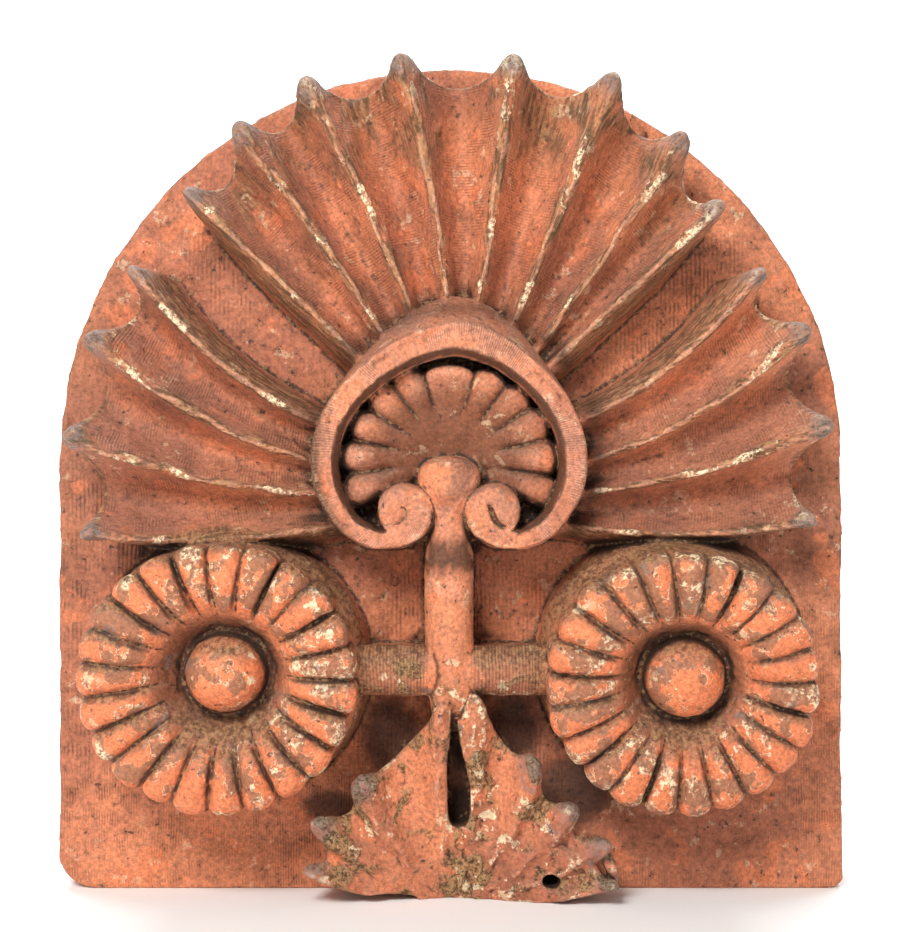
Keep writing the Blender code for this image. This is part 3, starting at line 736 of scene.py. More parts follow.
def barBody(name, bar, halfAngle):
    across = np.sin(np.linspace(-0.5, 0.5, 21) * math.pi)[:, None]
    off = np.abs(across)
    side = 1 - (1 - off ** bar["plump"]) ** (1 / bar["plump"])
    nose = mix(bar["nose"], bar["sideNose"], side)
    end = bar["reach"] * (1 - bar["notch"] * (1 - np.sqrt(1 - 0.96 * off**2)))
    t = np.linspace(0, 1, 34)[None, :]
    start = bar["start"] * bar["reach"]
    reach = mix(start, end - nose, t)
    place = reach / (end - nose)
    rise = smoothCurve(bar["crest"], place.ravel()).reshape(place.shape)
    shows = smoothCurve(bar["shows"], place.ravel()).reshape(place.shape)
    rise = rise - bar["groove"] * shows * side
    bow = np.radians(np.array([72, 54, 36, 18, 0, -20]))[None, :]
    noseReach = reach[:, -1:] + nose * np.cos(bow)
    noseRise = rise[:, -1:] - nose + nose * np.sin(bow)
    foot = np.full_like(off, bar["base"])
    reaches = np.hstack([reach[:, :1], reach, noseReach, noseReach[:, -1:]])
    rises = np.hstack([foot, rise, noseRise, foot])
    x, z = polar((0.0, 0.0), across * halfAngle, reaches)
    return loopBody(name, np.stack([x, z, rises], axis=-1))


def ringTree():
    # sets copies of one bar round a middle, each a little uneven
    wires, given, keys = formTree("ring of bars", (
        ("Bar", "Object"), ("Count", "Int"), ("First angle", "Float"), ("Angle step", "Float"),
        ("First reach", "Float"), ("Last reach", "Float"), ("Unevenness", "Float"),
        ("Seed", "Int"), ("Clay", "Material")))
    line = wires.add("GeometryNodeMeshLine", {"Count": given["Count"], "Offset": (0, 0, 0)})
    index = wires.add("GeometryNodeInputIndex").outputs[0]

    def uneven(seedShift):
        node = wires.add("FunctionNodeRandomValue",
                         {"ID": index, "Seed": wires.plus(given["Seed"], seedShift)},
                         data_type="FLOAT")
        spread = wires.timesPlus(node.outputs["Value"], 2.0, -1.0)
        return wires.times(spread, given["Unevenness"])

    angle = wires.timesPlus(index, given["Angle step"], given["First angle"])
    angle = wires.timesPlus(uneven(1), 0.16, angle)
    lastIndex = wires.most(wires.less(given["Count"], 1.0), 1.0)
    along = wires.sums("DIVIDE", index, lastIndex)
    grow = wires.less(given["Last reach"], given["First reach"])
    reach = wires.timesPlus(grow, along, given["First reach"])
    reach = wires.timesPlus(uneven(2), 0.25, reach)
    girth = wires.plus(uneven(3), 1.02)
    height = wires.timesPlus(uneven(4), 0.20, 1.0)
    turned = wires.add("ShaderNodeCombineXYZ", {"Y": angle})
    scaled = wires.add("ShaderNodeCombineXYZ", {"X": girth, "Y": height, "Z": reach})
    bar = wires.add("GeometryNodeObjectInfo", {"Object": given["Bar"]})
    ring = wires.add("GeometryNodeInstanceOnPoints",
                     {"Points": line.outputs[0], "Instance": bar.outputs["Geometry"],
                      "Rotation": turned.outputs[0], "Scale": scaled.outputs[0]})
    endTree(wires, ring.outputs[0], given["Clay"])
    return wires.tree, keys


clay = bpy.data.materials.new("weathered terracotta")
barRing, ringInputs = ringTree()


def ringOf(name, bar, values):
    ring = bpy.data.objects.new(name, bpy.data.meshes.new(name))
    bpy.context.scene.collection.objects.link(ring)
    withNodes(ring, "ring", barRing, ringInputs, {"Bar": bar, "Clay": clay, **values})
    applied(ring, name)
    bpy.data.objects.remove(bar, do_unlink=True)
    return ring


def moved(body, place):
    # runs slab coordinates of every point through a function
    x, y, z = pointValues(body.data, "co")
    points = place(np.stack([x, z, slabFront - y], axis=-1))
    body.data.vertices.foreach_set("co", inBlock(points).ravel())
    body.data.update()
    return body


def palmetteForms():
    centre = np.array(palmette["centre"])
    step = (palmette["halfAngle"] - palmette["crownHalfAngle"]) / palmette["sideLobes"]
    first = palmette["crownHalfAngle"] + step / 2

    def place(points):
        points[..., :2] += centre
        return points

    def reachAt(angle):
        return mix(palmette["crownReach"], palmette["lowestReach"], angle / palmette["halfAngle"])

    bodies = []
    for side, seed in ((-1, 4), (1, 9)):
        bar = barBody("lobe", lobe, step / 2 * 1.01)
        bodies.append(ringOf("palmette lobes", bar, {
            "Count": palmette["sideLobes"],
            "First angle": math.radians(side * first),
            "Angle step": math.radians(side * step),
            "First reach": reachAt(first),
            "Last reach": reachAt(palmette["halfAngle"]),
            "Unevenness": 0.05,
            "Seed": seed,
        }))
    crown = barBody("crown lobe", crownLobe, palmette["crownHalfAngle"] * 1.01)
    bodies.append(crown)
    rows = [(0.002, 0.0360), (0.018, 0.0372), (0.028, 0.0385), (0.034, 0.0385), (0.044, 0.0355),
            (0.054, 0.0340), (0.058, 0.0320), (0.060, -embed)]
    bowl = turnedBody("palmette bowl", (0.0, 0.0), rows, 72)
    bodies.append(bowl)
    return [moved(body, place) for body in bodies]


clayForms += palmetteForms()
print("palmette set")

# Rosettes

rosettes = (
    {"name": "left", "radius": 0.0955, "centre": (-0.1555, 0.159), "turn": -2.0, "nod": 2.0,
     "cup": (0.0035, 0.0022), "seed": 3, "spin": 4.0},
    {"name": "right", "radius": 0.0930, "centre": (0.1566, 0.162), "turn": 0.0, "nod": 7.0,
     "cup": (0.0035, 0.0010), "seed": 8, "spin": 2.0},
)
rosette = {
    "oval": 0.965,
    "flare": 0.005,
    "bossRadius": 0.028,
    "bossRise": 0.080,
    "drum": ((0.02, 0.0465), (0.30, 0.0465), (0.37, 0.0475), (0.44, 0.0520), (0.52, 0.0560),
             (0.62, 0.0605), (0.74, 0.0655), (0.86, 0.0675), (0.920, 0.0665), (0.950, 0.0620),
             (0.972, 0.0520)),
}


def leaning(points, one):
    # oval and leaning, with its cup a little off the middle of its petals
    slopeX, slopeZ = math.radians(one["turn"]), -math.radians(one["nod"])
    share = np.hypot(points[..., 0], points[..., 1]) / one["radius"]
    inner = np.clip((1 - share) / 0.645, 0.0, 1.0)
    acrossX, acrossZ = points[..., 0], points[..., 1] * rosette["oval"]
    rise = points[..., 2]
    made = np.empty_like(points)
    made[..., 0] = one["centre"][0] + acrossX + one["cup"][0] * inner + slopeX * rise
    made[..., 1] = one["centre"][1] + acrossZ + one["cup"][1] * inner + slopeZ * rise
    made[..., 2] = rise - slopeX * acrossX - slopeZ * acrossZ
    return made


def rosetteForms(one):
    radius = one["radius"]
    step = 360 / petal["count"]
    bar = barBody("petal", {**petal, "reach": radius}, step / 2 * petal["fill"])
    petals = ringOf(one["name"] + " petals", bar, {
        "Count": petal["count"],
        "First angle": math.radians(one["spin"]),
        "Angle step": math.radians(step),
        "First reach": 1.0,
        "Last reach": 1.0,
        "Unevenness": 0.055,
        "Seed": one["seed"],
    })
    rows = [(radius * share, rise) for share, rise in rosette["drum"]]
    rows += [(radius + rosette["flare"] * s, mix(0.044, -embed, s)) for s in (0.25, 0.6, 0.85, 1)]
    drum = turnedBody(one["name"] + " drum", (0.0, 0.0), rows, 110)
    ball, top = rosette["bossRadius"], rosette["bossRise"]
    rows = [(ball * 1.10, 0.030), (ball * 1.08, 0.0490), (ball * 1.02, 0.0510)]
    for lift in np.radians(np.linspace(4, 88, 14)):
        rows.append((ball * math.cos(lift), top - ball * (1 - math.sin(lift))))
    boss = turnedBody(one["name"] + " boss", (0.0, 0.0), rows, 64)
    return [moved(body, lambda points: leaning(points, one)) for body in (petals, drum, boss)]


for one in rosettes:
    clayForms += rosetteForms(one)
print("rosettes set")

# Stem and arms

stem = {
    "middle": band["centre"][0],
    "top": band["centre"][1] - 0.003,
    "width": 0.033,
    "rise": 0.063,
    "neckWidth": 0.0215,
    "knobWidth": 0.0435,
    "knobRise": 0.075,
    "foot": 0.117,
    "footWidth": 0.024,
    "footRise": 0.042,
    "footShift": 0.003,
}
knobOutline = (  # drop below the knob's top, then width and rise as shares
    (0.0002, 0.12, 0.820),
    (0.0014, 0.40, 0.905),
    (0.0034, 0.62, 0.975),
    (0.0056, 0.78, 1.004),
    (0.0080, 0.88, 0.992),
    (0.0110, 0.95, 0.985),
    (0.0155, 1.00, 0.990),
    (0.0230, 0.92, 0.970),
    (0.0300, 0.70, 0.920),
)
arm = {
    "radius": 0.0172,
    "axisRise": 0.0433,
    "start": 0.0075,  # off the stem's middle
    "height": 0.160,
    "web": 0.86,
    "end": 0.75,  # how far it goes into a rosette, as a share of its radius
    "bulge": 0.0045,
}


def halfRound(middle, halfWidth, rise, height):
    section = [(middle + halfWidth, height, -embed)]
    for turn in np.linspace(0, math.pi, 25):
        lift = max(0.0, rise - halfWidth) + min(rise, halfWidth) * math.sin(turn)
        section.append((middle + halfWidth * math.cos(turn), height, lift))
    section.append((middle - halfWidth, height, -embed))
    return section


def stemForm():
    top, shift = stem["top"], stem["footShift"]
    neck, shoulder = top - 0.040, top - 0.072
    controls = [(top - drop, stem["knobWidth"] / 2 * width, stem["knobRise"] * rise, 0.0)
                for drop, width, rise in knobOutline]
    width, rise = stem["width"] / 2, stem["rise"]
    controls += [
        (neck, stem["neckWidth"] / 2, mix(stem["knobRise"], rise, 0.8), 0.0),
        (mix(neck, shoulder, 0.5), mix(stem["neckWidth"] / 2, width, 0.55), rise, 0.0),
        (shoulder, width, rise, 0.0),
        (mix(shoulder, arm["height"], 0.5), width, rise, 0.0),
        (arm["height"], width, rise, shift / 3),
        (arm["height"] - 0.018, width * 0.93, rise * 0.97, shift * 0.6),
        (stem["foot"], stem["footWidth"] / 2, stem["footRise"], shift),
    ]
    sections = spline(controls, 9)
    return loopBody("stem", [halfRound(stem["middle"] + shift, half, rise, height)
                             for height, half, rise, shift in sections])


def armForms(side, one):
    start = stem["middle"] + side * arm["start"]
    end = one["centre"][0] - side * arm["end"] * one["radius"]
    turn = np.linspace(0, 2 * math.pi, 40, endpoint=False)
    steps = [(0.0, 0.30), (0.0004, 0.55), (0.0012, 0.78), (0.0024, 0.92), (0.0042, 1.0)]
    rows = [(start + side * out, share) for out, share in steps]
    rows += [(x, 1.0 + 0.02 * math.sin(x * 160)) for x in np.linspace(rows[-1][0], end, 12)[1:]]
    loops = [[(x, arm["height"] + arm["radius"] * share * math.cos(a),
               arm["axisRise"] + arm["radius"] * share * math.sin(a)) for a in turn]
             for x, share in rows]
    half = arm["radius"] * arm["web"]
    web = [[(x, arm["height"] + half, -embed), (x, arm["height"] + half, arm["axisRise"]),
            (x, arm["height"] - half, arm["axisRise"]), (x, arm["height"] - half, -embed)]
           for x in (start, end)]
    return [loopBody("arm", loops), loopBody("arm web", web)]


joint = {  # the dark line where the left arm's round end lies on the stem
    "start": -0.0165,
    "bow": 0.0090,
    "width": 0.0016,
    "depth": 0.0060,
    "halfAngle": 82,
}


def jointCutter():
    spots = []
    for turn in np.radians(np.linspace(-joint["halfAngle"], joint["halfAngle"], 9)):
        spots.append((stem["middle"] + joint["start"] + joint["bow"] * math.cos(turn),
                      arm["height"] + arm["radius"] * math.sin(turn), joint["width"],
                      joint["depth"] * (0.55 + 0.45 * math.cos(turn))))
    return trench("joint", spots, stem["rise"])


stemBody = stemForm()
leftArm = armForms(-1, rosettes[0])
cutAway(stemBody, [jointCutter()])
cutAway(leftArm[0], [jointCutter()])
clayForms += [stemBody, *leftArm, *armForms(1, rosettes[1])]
print("stem and arms set")

# The forms become one clay, then it weathers

weather = {
    "voxel": 0.0010,
    "triangles": 194000,
    "soften": 2,
    "undulation": 0.0016,
    "lumps": 0.0008,
    "grain": 0.00035,
    "chips": 0.0024,
    "crust": 0.0005,
    "crumbs": 0.0018,  # crumbs of old dirt caught in the corners
    "pits": 0.0010,
    "rays": 40,  # towards the sky from each point, and how far off a shelter counts
    "skyReach": 0.05,
}


def joined(bodies, name):
    whole = bodies[0]
    with bpy.context.temp_override(active_object=whole, selected_editable_objects=bodies):
        bpy.ops.object.join()
    whole.name = name
    return whole


def weatherTree():
    amounts = ("Undulation", "Lumps", "Grain", "Chips", "Crust", "Crumbs", "Pits")
    wires, given, keys = formTree("weathering", (
        ("Geometry", "Geometry"), ("Soften", "Int"), *((name, "Float") for name in amounts),
        ("Lowest", "Vector"), ("Highest", "Vector"), ("Clay", "Material")))
    fade, times, cloud = wires.fade, wires.times, wires.cloud
    place = wires.add("GeometryNodeInputPosition").outputs[0]
    normal = wires.add("GeometryNodeInputNormal").outputs[0]

    def blurred(value, rounds):
        node = wires.add("GeometryNodeBlurAttribute", {"Iterations": rounds},
                         data_type="FLOAT_VECTOR")
        wires.feed([s for s in node.inputs if s.name == "Value" and s.enabled][0], value)
        return [s for s in node.outputs if s.enabled][0]

    marked = wires.add("GeometryNodeSetPosition", {"Geometry": given["Geometry"],
                                                   "Position": blurred(place, given["Soften"])})
    for name, rounds in (("edge", 10), ("swell", 90)):
        # how far the clay stands out of its surroundings, in millimetres
        away = wires.vectors("SUBTRACT", place, blurred(place, rounds))
        out = wires.vectors("DOT_PRODUCT", away, normal)
        marked = wires.store(marked.outputs[0], name, times(out, 1000.0))
    edge = wires.add("GeometryNodeInputNamedAttribute", {"Name": "edge"},
                     data_type="FLOAT").outputs["Attribute"]
    parts = wires.apart(place)

    def swing(scale, detail, size):  # noise either side of nothing
        return times(wires.less(cloud(place, scale, detail), 0.5), size)

    chipped = times(fade(cloud(place, 34.0, 4.0, 0.6), 0.55, 0.66), fade(edge, 0.25, 1.1))
    crusted = fade(cloud(place, 62.0, 6.0, 0.62), 0.545, 0.575)
    caught = times(fade(edge, -0.35, -1.1), fade(cloud(place, 300.0, 3.0, 0.6), 0.46, 0.66),
                   fade(cloud(place, 24.0, 3.0), 0.42, 0.54))
    pit = wires.add("ShaderNodeTexVoronoi", {"Vector": place, "Scale": 95.0})
    pitted = times(fade(pit.outputs["Distance"], 0.16, 0.02),
                   fade(cloud(place, 16.0, 2.0), 0.52, 0.62))
    out = wires.plus(swing(11.0, 2.0, given["Undulation"]), swing(48.0, 2.0, given["Lumps"]),
                     swing(190.0, 3.0, given["Grain"]))
    out = wires.less(out, times(chipped, given["Chips"]))
    out = wires.plus(out, times(crusted, given["Crust"]), times(caught, given["Crumbs"]))
    out = wires.less(out, times(pitted, given["Pits"]))
    free = times(fade(parts["Z"], 0.0015, 0.006), fade(parts["Y"], 0.0365, 0.031))
    worn = wires.vectors("ADD", place, wires.stretched(normal, times(out, free)))
    worn = wires.vectors("MAXIMUM", worn, given["Lowest"])
    worn = wires.vectors("MINIMUM", worn, given["Highest"])
    aged = wires.add("GeometryNodeSetPosition",
                     {"Geometry": marked.outputs[0], "Position": worn})
    endTree(wires, aged.outputs[0], given["Clay"])
    return wires.tree, keys


broadClouds = (  # clouds broad enough to keep on the points: scale, detail, roughness, distortion
    ("broad", 8.0, 3.0, 0.55, 0.4),
    ("middling", 30.0, 5.0, 0.62, 0.6),
    ("bare", 41.0, 5.0, 0.60, 0.0),
    ("patchy", 27.0, 4.0, 0.60, 0.0),
    ("gathered", 14.0, 2.0, 0.50, 0.0),
    ("crusty", 36.0, 5.0, 0.65, 0.6),
    ("slaty", 44.0, 4.0, 0.62, 0.4),
    ("worked", 50.0, 4.0, 0.50, 0.0),
    ("bending", 22.0, 3.0, 0.50, 0.0),
)


def shelterTree(rays, reach):
    # how much of the sky above each point is hidden by the rest of the block
    wires, given, keys = formTree("shelter", (("Geometry", "Geometry"), ("Clay", "Material")))
    place = wires.add("GeometryNodeInputPosition").outputs[0]
    normal = wires.add("GeometryNodeInputNormal").outputs[0]
    start = wires.vectors("ADD", place, wires.stretched(normal, 0.002))
    hidden, seen = 0.0, 1e-6
    for i in range(rays):
        height = 1 - (2 * i + 1) / rays
        turn = i * math.pi * (3 - math.sqrt(5))
        flat = math.sqrt(1 - height**2)
        direction = (flat * math.cos(turn), height, flat * math.sin(turn))
        weight = wires.most(wires.vectors("DOT_PRODUCT", normal, direction), 0.0)
        ray = wires.add("GeometryNodeRaycast",
                        {"Target Geometry": given["Geometry"], "Source Position": start,
                         "Ray Direction": direction, "Ray Length": reach})
        close = wires.fade(ray.outputs["Hit Distance"], 0.0, reach, 1.0, 0.15)
        hit = wires.times(ray.outputs["Is Hit"], close)
        hidden = wires.timesPlus(hit, weight, hidden)
        seen = wires.plus(weight, seen)
    store = wires.store(given["Geometry"], "shelter", wires.sums("DIVIDE", hidden, seen))
    for name, *settings in broadClouds:
        store = wires.store(store.outputs[0], name, wires.cloud(place, *settings))
    endTree(wires, store.outputs[0], given["Clay"])
    return wires.tree, keys


lunette = joined(clayForms, "terracottaLunette")
madeOneClay(lunette, weather["voxel"])
print("one clay of", len(lunette.data.polygons), "faces")

amounts = ("soften", "undulation", "lumps", "grain", "chips", "crust", "crumbs", "pits")
withNodes(lunette, "weathering", *weatherTree(), {
    **{name.capitalize(): weather[name] for name in amounts},
    "Lowest": tuple(cadLow), "Highest": tuple(cadHigh), "Clay": clay})
fewer = lunette.modifiers.new("fewer faces", "DECIMATE")
fewer.ratio = weather["triangles"] / (2 * len(lunette.data.polygons))
applied(lunette, "worn clay")

# thinning the mesh may push a point over the block's limits
inside = np.clip(pointValues(lunette.data, "co").T, np.array(cadLow), np.array(cadHigh))
lunette.data.vertices.foreach_set("co", inside.ravel())
lunette.data.update()
print("weathered to", len(lunette.data.polygons), "faces")

withNodes(lunette, "shelter", *shelterTree(weather["rays"], weather["skyReach"]), {"Clay": clay})
applied(lunette, "terracottaLunette")
lunette.data.shade_smooth()
print("shelter measured")


def offGroove(angle, spacing, first):  # degrees to the nearest groove in a ring of bars
    return np.abs(((angle - first) / spacing) % 1 - 0.5) * spacing


def between(value, low, rise, fall, high):  # 1 from rise to fall, softly 0 at low and high
    return smoothStep(value, low, rise) * smoothStep(value, high, fall)


pits = (  # painted shade and dirt in the dark hollows round the leaf: x, z, half width, half height
    (-0.0425, 0.109, 0.022, 0.028),
    (0.0439, 0.114, 0.020, 0.026),
    (0.0867, 0.070, 0.029, 0.028),
    (-0.0860, 0.059, 0.020, 0.012),
)


def markRosettes(marks, x, z, rise):
    for one in rosettes:
        slopeX, slopeZ = math.radians(one["turn"]), -math.radians(one["nod"])
        acrossX = x - one["centre"][0] - slopeX * rise
        acrossZ = (z - one["centre"][1] - slopeZ * rise) / rosette["oval"]
        reach = np.hypot(acrossX, acrossZ)
        share = reach / one["radius"]
        marks["leafed"] *= smoothStep(share, 1.08, 1.13)
        marks["petals"] += (between(share, 0.42, 0.56, 1.02, 1.06)
                            * smoothStep(rise, 0.055, 0.066))
        middle = np.hypot(acrossX - one["cup"][0], acrossZ - one["cup"][1])
        boss = smoothStep(middle, 0.0305, 0.0275) * smoothStep(rise, 0.050, 0.056)
        marks["boss"] += boss
        marks["cup"] += smoothStep(share, 0.52, 0.40) * smoothStep(rise, 0.03, 0.04) * (1 - boss)
        marks["drum"] += (between(share, 0.985, 1.0, 1.08, 1.12)
                          * between(rise, 0.008, 0.018, 0.070, 0.076))
        # painted shade down the grooves between the petals
        off = np.radians(offGroove(np.degrees(np.arctan2(acrossX, acrossZ)),
                                   360 / petal["count"], one["spin"])) * reach
        marks["grooved"] += (smoothStep(off, 0.0016, 0.0005) * between(share, 0.47, 0.60, 0.965, 1.0)
                             * smoothStep(rise, 0.052, 0.060))


def markFans(marks, x, z, rise):
    reach = np.hypot(x - fan["centre"][0], z - fan["centre"][1])
    turn = np.degrees(np.arctan2(x - fan["centre"][0], z - fan["centre"][1]))
    marks["fluted"] = (smoothStep(reach, 0.088, 0.100) * smoothStep(rise, 0.006, 0.012)
                       * smoothStep(z, 0.235, 0.255))
    marks["rolled"] = smoothStep(reach, 0.104, 0.096) * smoothStep(rise, 0.020, 0.030)
    marks["crusted"] = (marks["fluted"] * smoothStep(np.abs(turn), 50, 46)
                        * smoothStep(reach, 0.18, 0.25))
    # painted shade, partly dirt, at the flutes' feet beside the band
    marks["foot"] = marks["fluted"] * smoothStep(reach, 0.113, 0.098)
    for ribs in (upperRibs, leftRibs, rightRibs):
        for side, (tipAngle, footAngle, share, early) in ((-1, ribs[0]), (1, ribs[-1])):
            along = (reach - fan["footReach"]) / (share * fan["reach"] - fan["footReach"])
            edge = mix(footAngle, tipAngle, np.clip(along, 0, 1) ** early)
            outside = np.radians(side * (turn - edge)) * reach
            flank = between(outside, -0.0015, 0.0020, 0.022, 0.030)
            marks["shaggy"] = np.maximum(marks["shaggy"], flank * marks["fluted"])
    tips = [(fan, rib) for ribs in (upperRibs, leftRibs, rightRibs) for rib in ribs]
    tips += [(leaf, rib) for rib in leafRibs if rib[2] < 1.2]
    for shape, (tipAngle, _, share, _) in tips:
        tipX, tipZ = polar(shape["centre"], tipAngle, share * shape["reach"] - 0.005)
        near = smoothStep(np.hypot(x - tipX, z - tipZ), 0.017, 0.006)
        marks["tip"] = np.maximum(marks["tip"], near * smoothStep(rise, 0.030, 0.042))


def markBand(marks, x, z, rise, faceX, faceZ):
    reach = np.hypot(x - band["centre"][0], z - band["centre"][1])
    # painted shade on the band's inner bevel and on faces that turn in towards its middle
    bevel = (between(reach, 0.060, 0.064, 0.081, 0.085) * smoothStep(rise, 0.0648, 0.0630)
             * smoothStep(rise, 0.018, 0.026)
             * np.maximum(smoothStep(rise, 0.0525, 0.0555), smoothStep(reach, 0.0735, 0.0755)))
    inward = (faceX * (band["centre"][0] - x) + faceZ * (band["centre"][1] - z)) / reach
    slope = (smoothStep(inward, 0.22, 0.48) * between(reach, 0.058, 0.063, 0.084, 0.090)
             * smoothStep(rise, 0.054, 0.058))
    marks["bevel"] = np.maximum(bevel, slope)
    acrossX, acrossZ = x - palmette["centre"][0], z - palmette["centre"][1]
    reach = np.hypot(acrossX, acrossZ)
    angle = np.abs(np.degrees(np.arctan2(acrossX, acrossZ)))
    marks["dish"] = smoothStep(reach, 0.070, 0.042) * smoothStep(rise, 0.058, 0.053)
    # painted shade down the grooves between the palmette's lobes
    spacing = (palmette["halfAngle"] - palmette["crownHalfAngle"]) / palmette["sideLobes"]
    off = offGroove(angle, spacing, palmette["crownHalfAngle"] + spacing / 2)
    off = np.radians(off) * reach
    marks["grooved"] += (smoothStep(off, 0.0017, 0.0006) * between(reach, 0.034, 0.046, 0.0715, 0.0735)
                         * smoothStep(angle, 8, 12) * between(rise, 0.015, 0.020, 0.055, 0.058))


def markRegions(mesh):
    # where each finish lies, kept as numbers on the points
    x, y, z = pointValues(mesh, "co")
    faceX, _, faceZ = pointValues(mesh, "normal")
    rise, wide = slabFront - y, np.abs(x)
    marks = {name: np.zeros(len(x)) for name in ("petals", "boss", "cup", "drum", "grooved",
                                                 "shaggy", "tip", "pit")}
    marks["leafed"] = (smoothStep(wide, 0.125, 0.118) * smoothStep(z, 0.172, 0.165)
                       * smoothStep(rise, 0.012, 0.020))
    markRosettes(marks, x, z, rise)
    markFans(marks, x, z, rise)
    markBand(marks, x, z, rise, faceX, faceZ)
    flat = smoothStep(rise, 0.006, 0.002) * smoothStep(y, -0.030, -0.036)
    marks["combed"] = flat * (0.25 + 0.75 * np.maximum.reduce([
        smoothStep(wide, 0.19, 0.23) * smoothStep(z, 0.34, 0.26),
        smoothStep(z, 0.11, 0.07),
        smoothStep(np.hypot(wide - 0.157, z - 0.425), 0.085, 0.045),
        smoothStep(wide, 0.08, 0.06) * smoothStep(z, 0.245, 0.225),
    ]))
    marks["finelyCombed"] = np.maximum(smoothStep(x, 0.20, 0.23), smoothStep(z, 0.10, 0.07))
    marks["armed"] = (smoothStep(np.abs(z - arm["height"]), 0.0185, 0.0165)
                      * smoothStep(rise, 0.02, 0.03) * between(wide, 0.014, 0.018, 0.0600, 0.0630))
    for pitX, pitZ, acrossPit, upPit in pits:
        away = np.hypot((x - pitX) / acrossPit, (z - pitZ) / upPit)
        pit = smoothStep(away, 1.20, 0.70) * smoothStep(rise, 0.034, 0.022)
        marks["pit"] = np.maximum(marks["pit"], pit)
    # painted shade along the joint where the left arm's round end lies on the stem
    across = np.clip((z - arm["height"]) / arm["radius"], -1, 1)
    curve = stem["middle"] + joint["start"] + joint["bow"] * np.sqrt(1 - across**2)
    marks["grooved"] += (smoothStep(np.abs(x - curve), 0.0018, 0.0008)
                         * smoothStep(np.abs(across), 1.0, 0.96) * smoothStep(rise, 0.03, 0.04))
    sides = smoothStep(wide, 0.225, 0.265) * smoothStep(z, 0.10, 0.24)
    kept = {  # marks that the clay treats alike are kept as one
        "worn": np.maximum(marks["petals"], marks["boss"]),
        # painted shade, partly dirt, in the rosettes' cups and the palmette's dish
        "bowled": np.maximum(0.85 * marks["cup"], 0.92 * marks["dish"]),
        "dulled": np.maximum(0.38 * sides, 0.40 * marks["armed"]),
        # painted shade, partly dirt, down grooves, in the pits round the leaf and at the flutes' feet
        "grimed": np.maximum.reduce(
            [0.85 * marks["grooved"], 0.80 * marks["pit"], 0.60 * marks["foot"]]),
    }
    for name in ("drum", "combed", "finelyCombed", "fluted", "rolled", "crusted", "shaggy",
                 "tip", "armed", "bevel", "leafed"):
        kept[name] = marks[name]
    for name, values in kept.items():
        attribute = mesh.attributes.new(name, "FLOAT", "POINT")
        attribute.data.foreach_set("value", np.clip(values, 0, 1).astype(np.float32))


markRegions(lunette.data)
print("finishes marked")

# The clay's finish


def shade255(red, green, blue):  # a screen colour as light
    return tuple((c / 255 / 12.92) if c <= 10 else ((c / 255 + 0.055) / 1.055) ** 2.4
                 for c in (red, green, blue)) + (1.0,)


clayFinish = {
    "orange": shade255(206, 128, 90),
    "brick": shade255(170, 103, 75),
    "umber": shade255(104, 70, 54),
    "fresh": shade255(218, 122, 78),
    "skin": shade255(144, 98, 72),
    "dust": shade255(136, 102, 88),
    "fibre": shade255(158, 124, 84),
    "moss": shade255(88, 66, 40),
    "cream": shade255(226, 204, 168),
    "pink": shade255(220, 158, 132),
    "slate": shade255(110, 104, 102),
    # bowl brown is painted shade, partly dirt, in cups, dish and sheltered places, and crust on the
    # upper flutes
    "bowl": shade255(116, 68, 44),
    "shadow": shade255(80, 48, 30),
    # near-black: painted shade, partly dirt, in shelter, creases and grooves, and also dark specks
    "shadeAndGrime": shade255(36, 25, 18),
    "combPitch": 0.0030,
    "finePitch": 0.0019,
    "toolPitch": 0.0020,
    "armPitch": 0.0023,
    "tickPitch": 0.0017,
    "tickReach": 0.085,  # the ring on which the ticks are counted
}


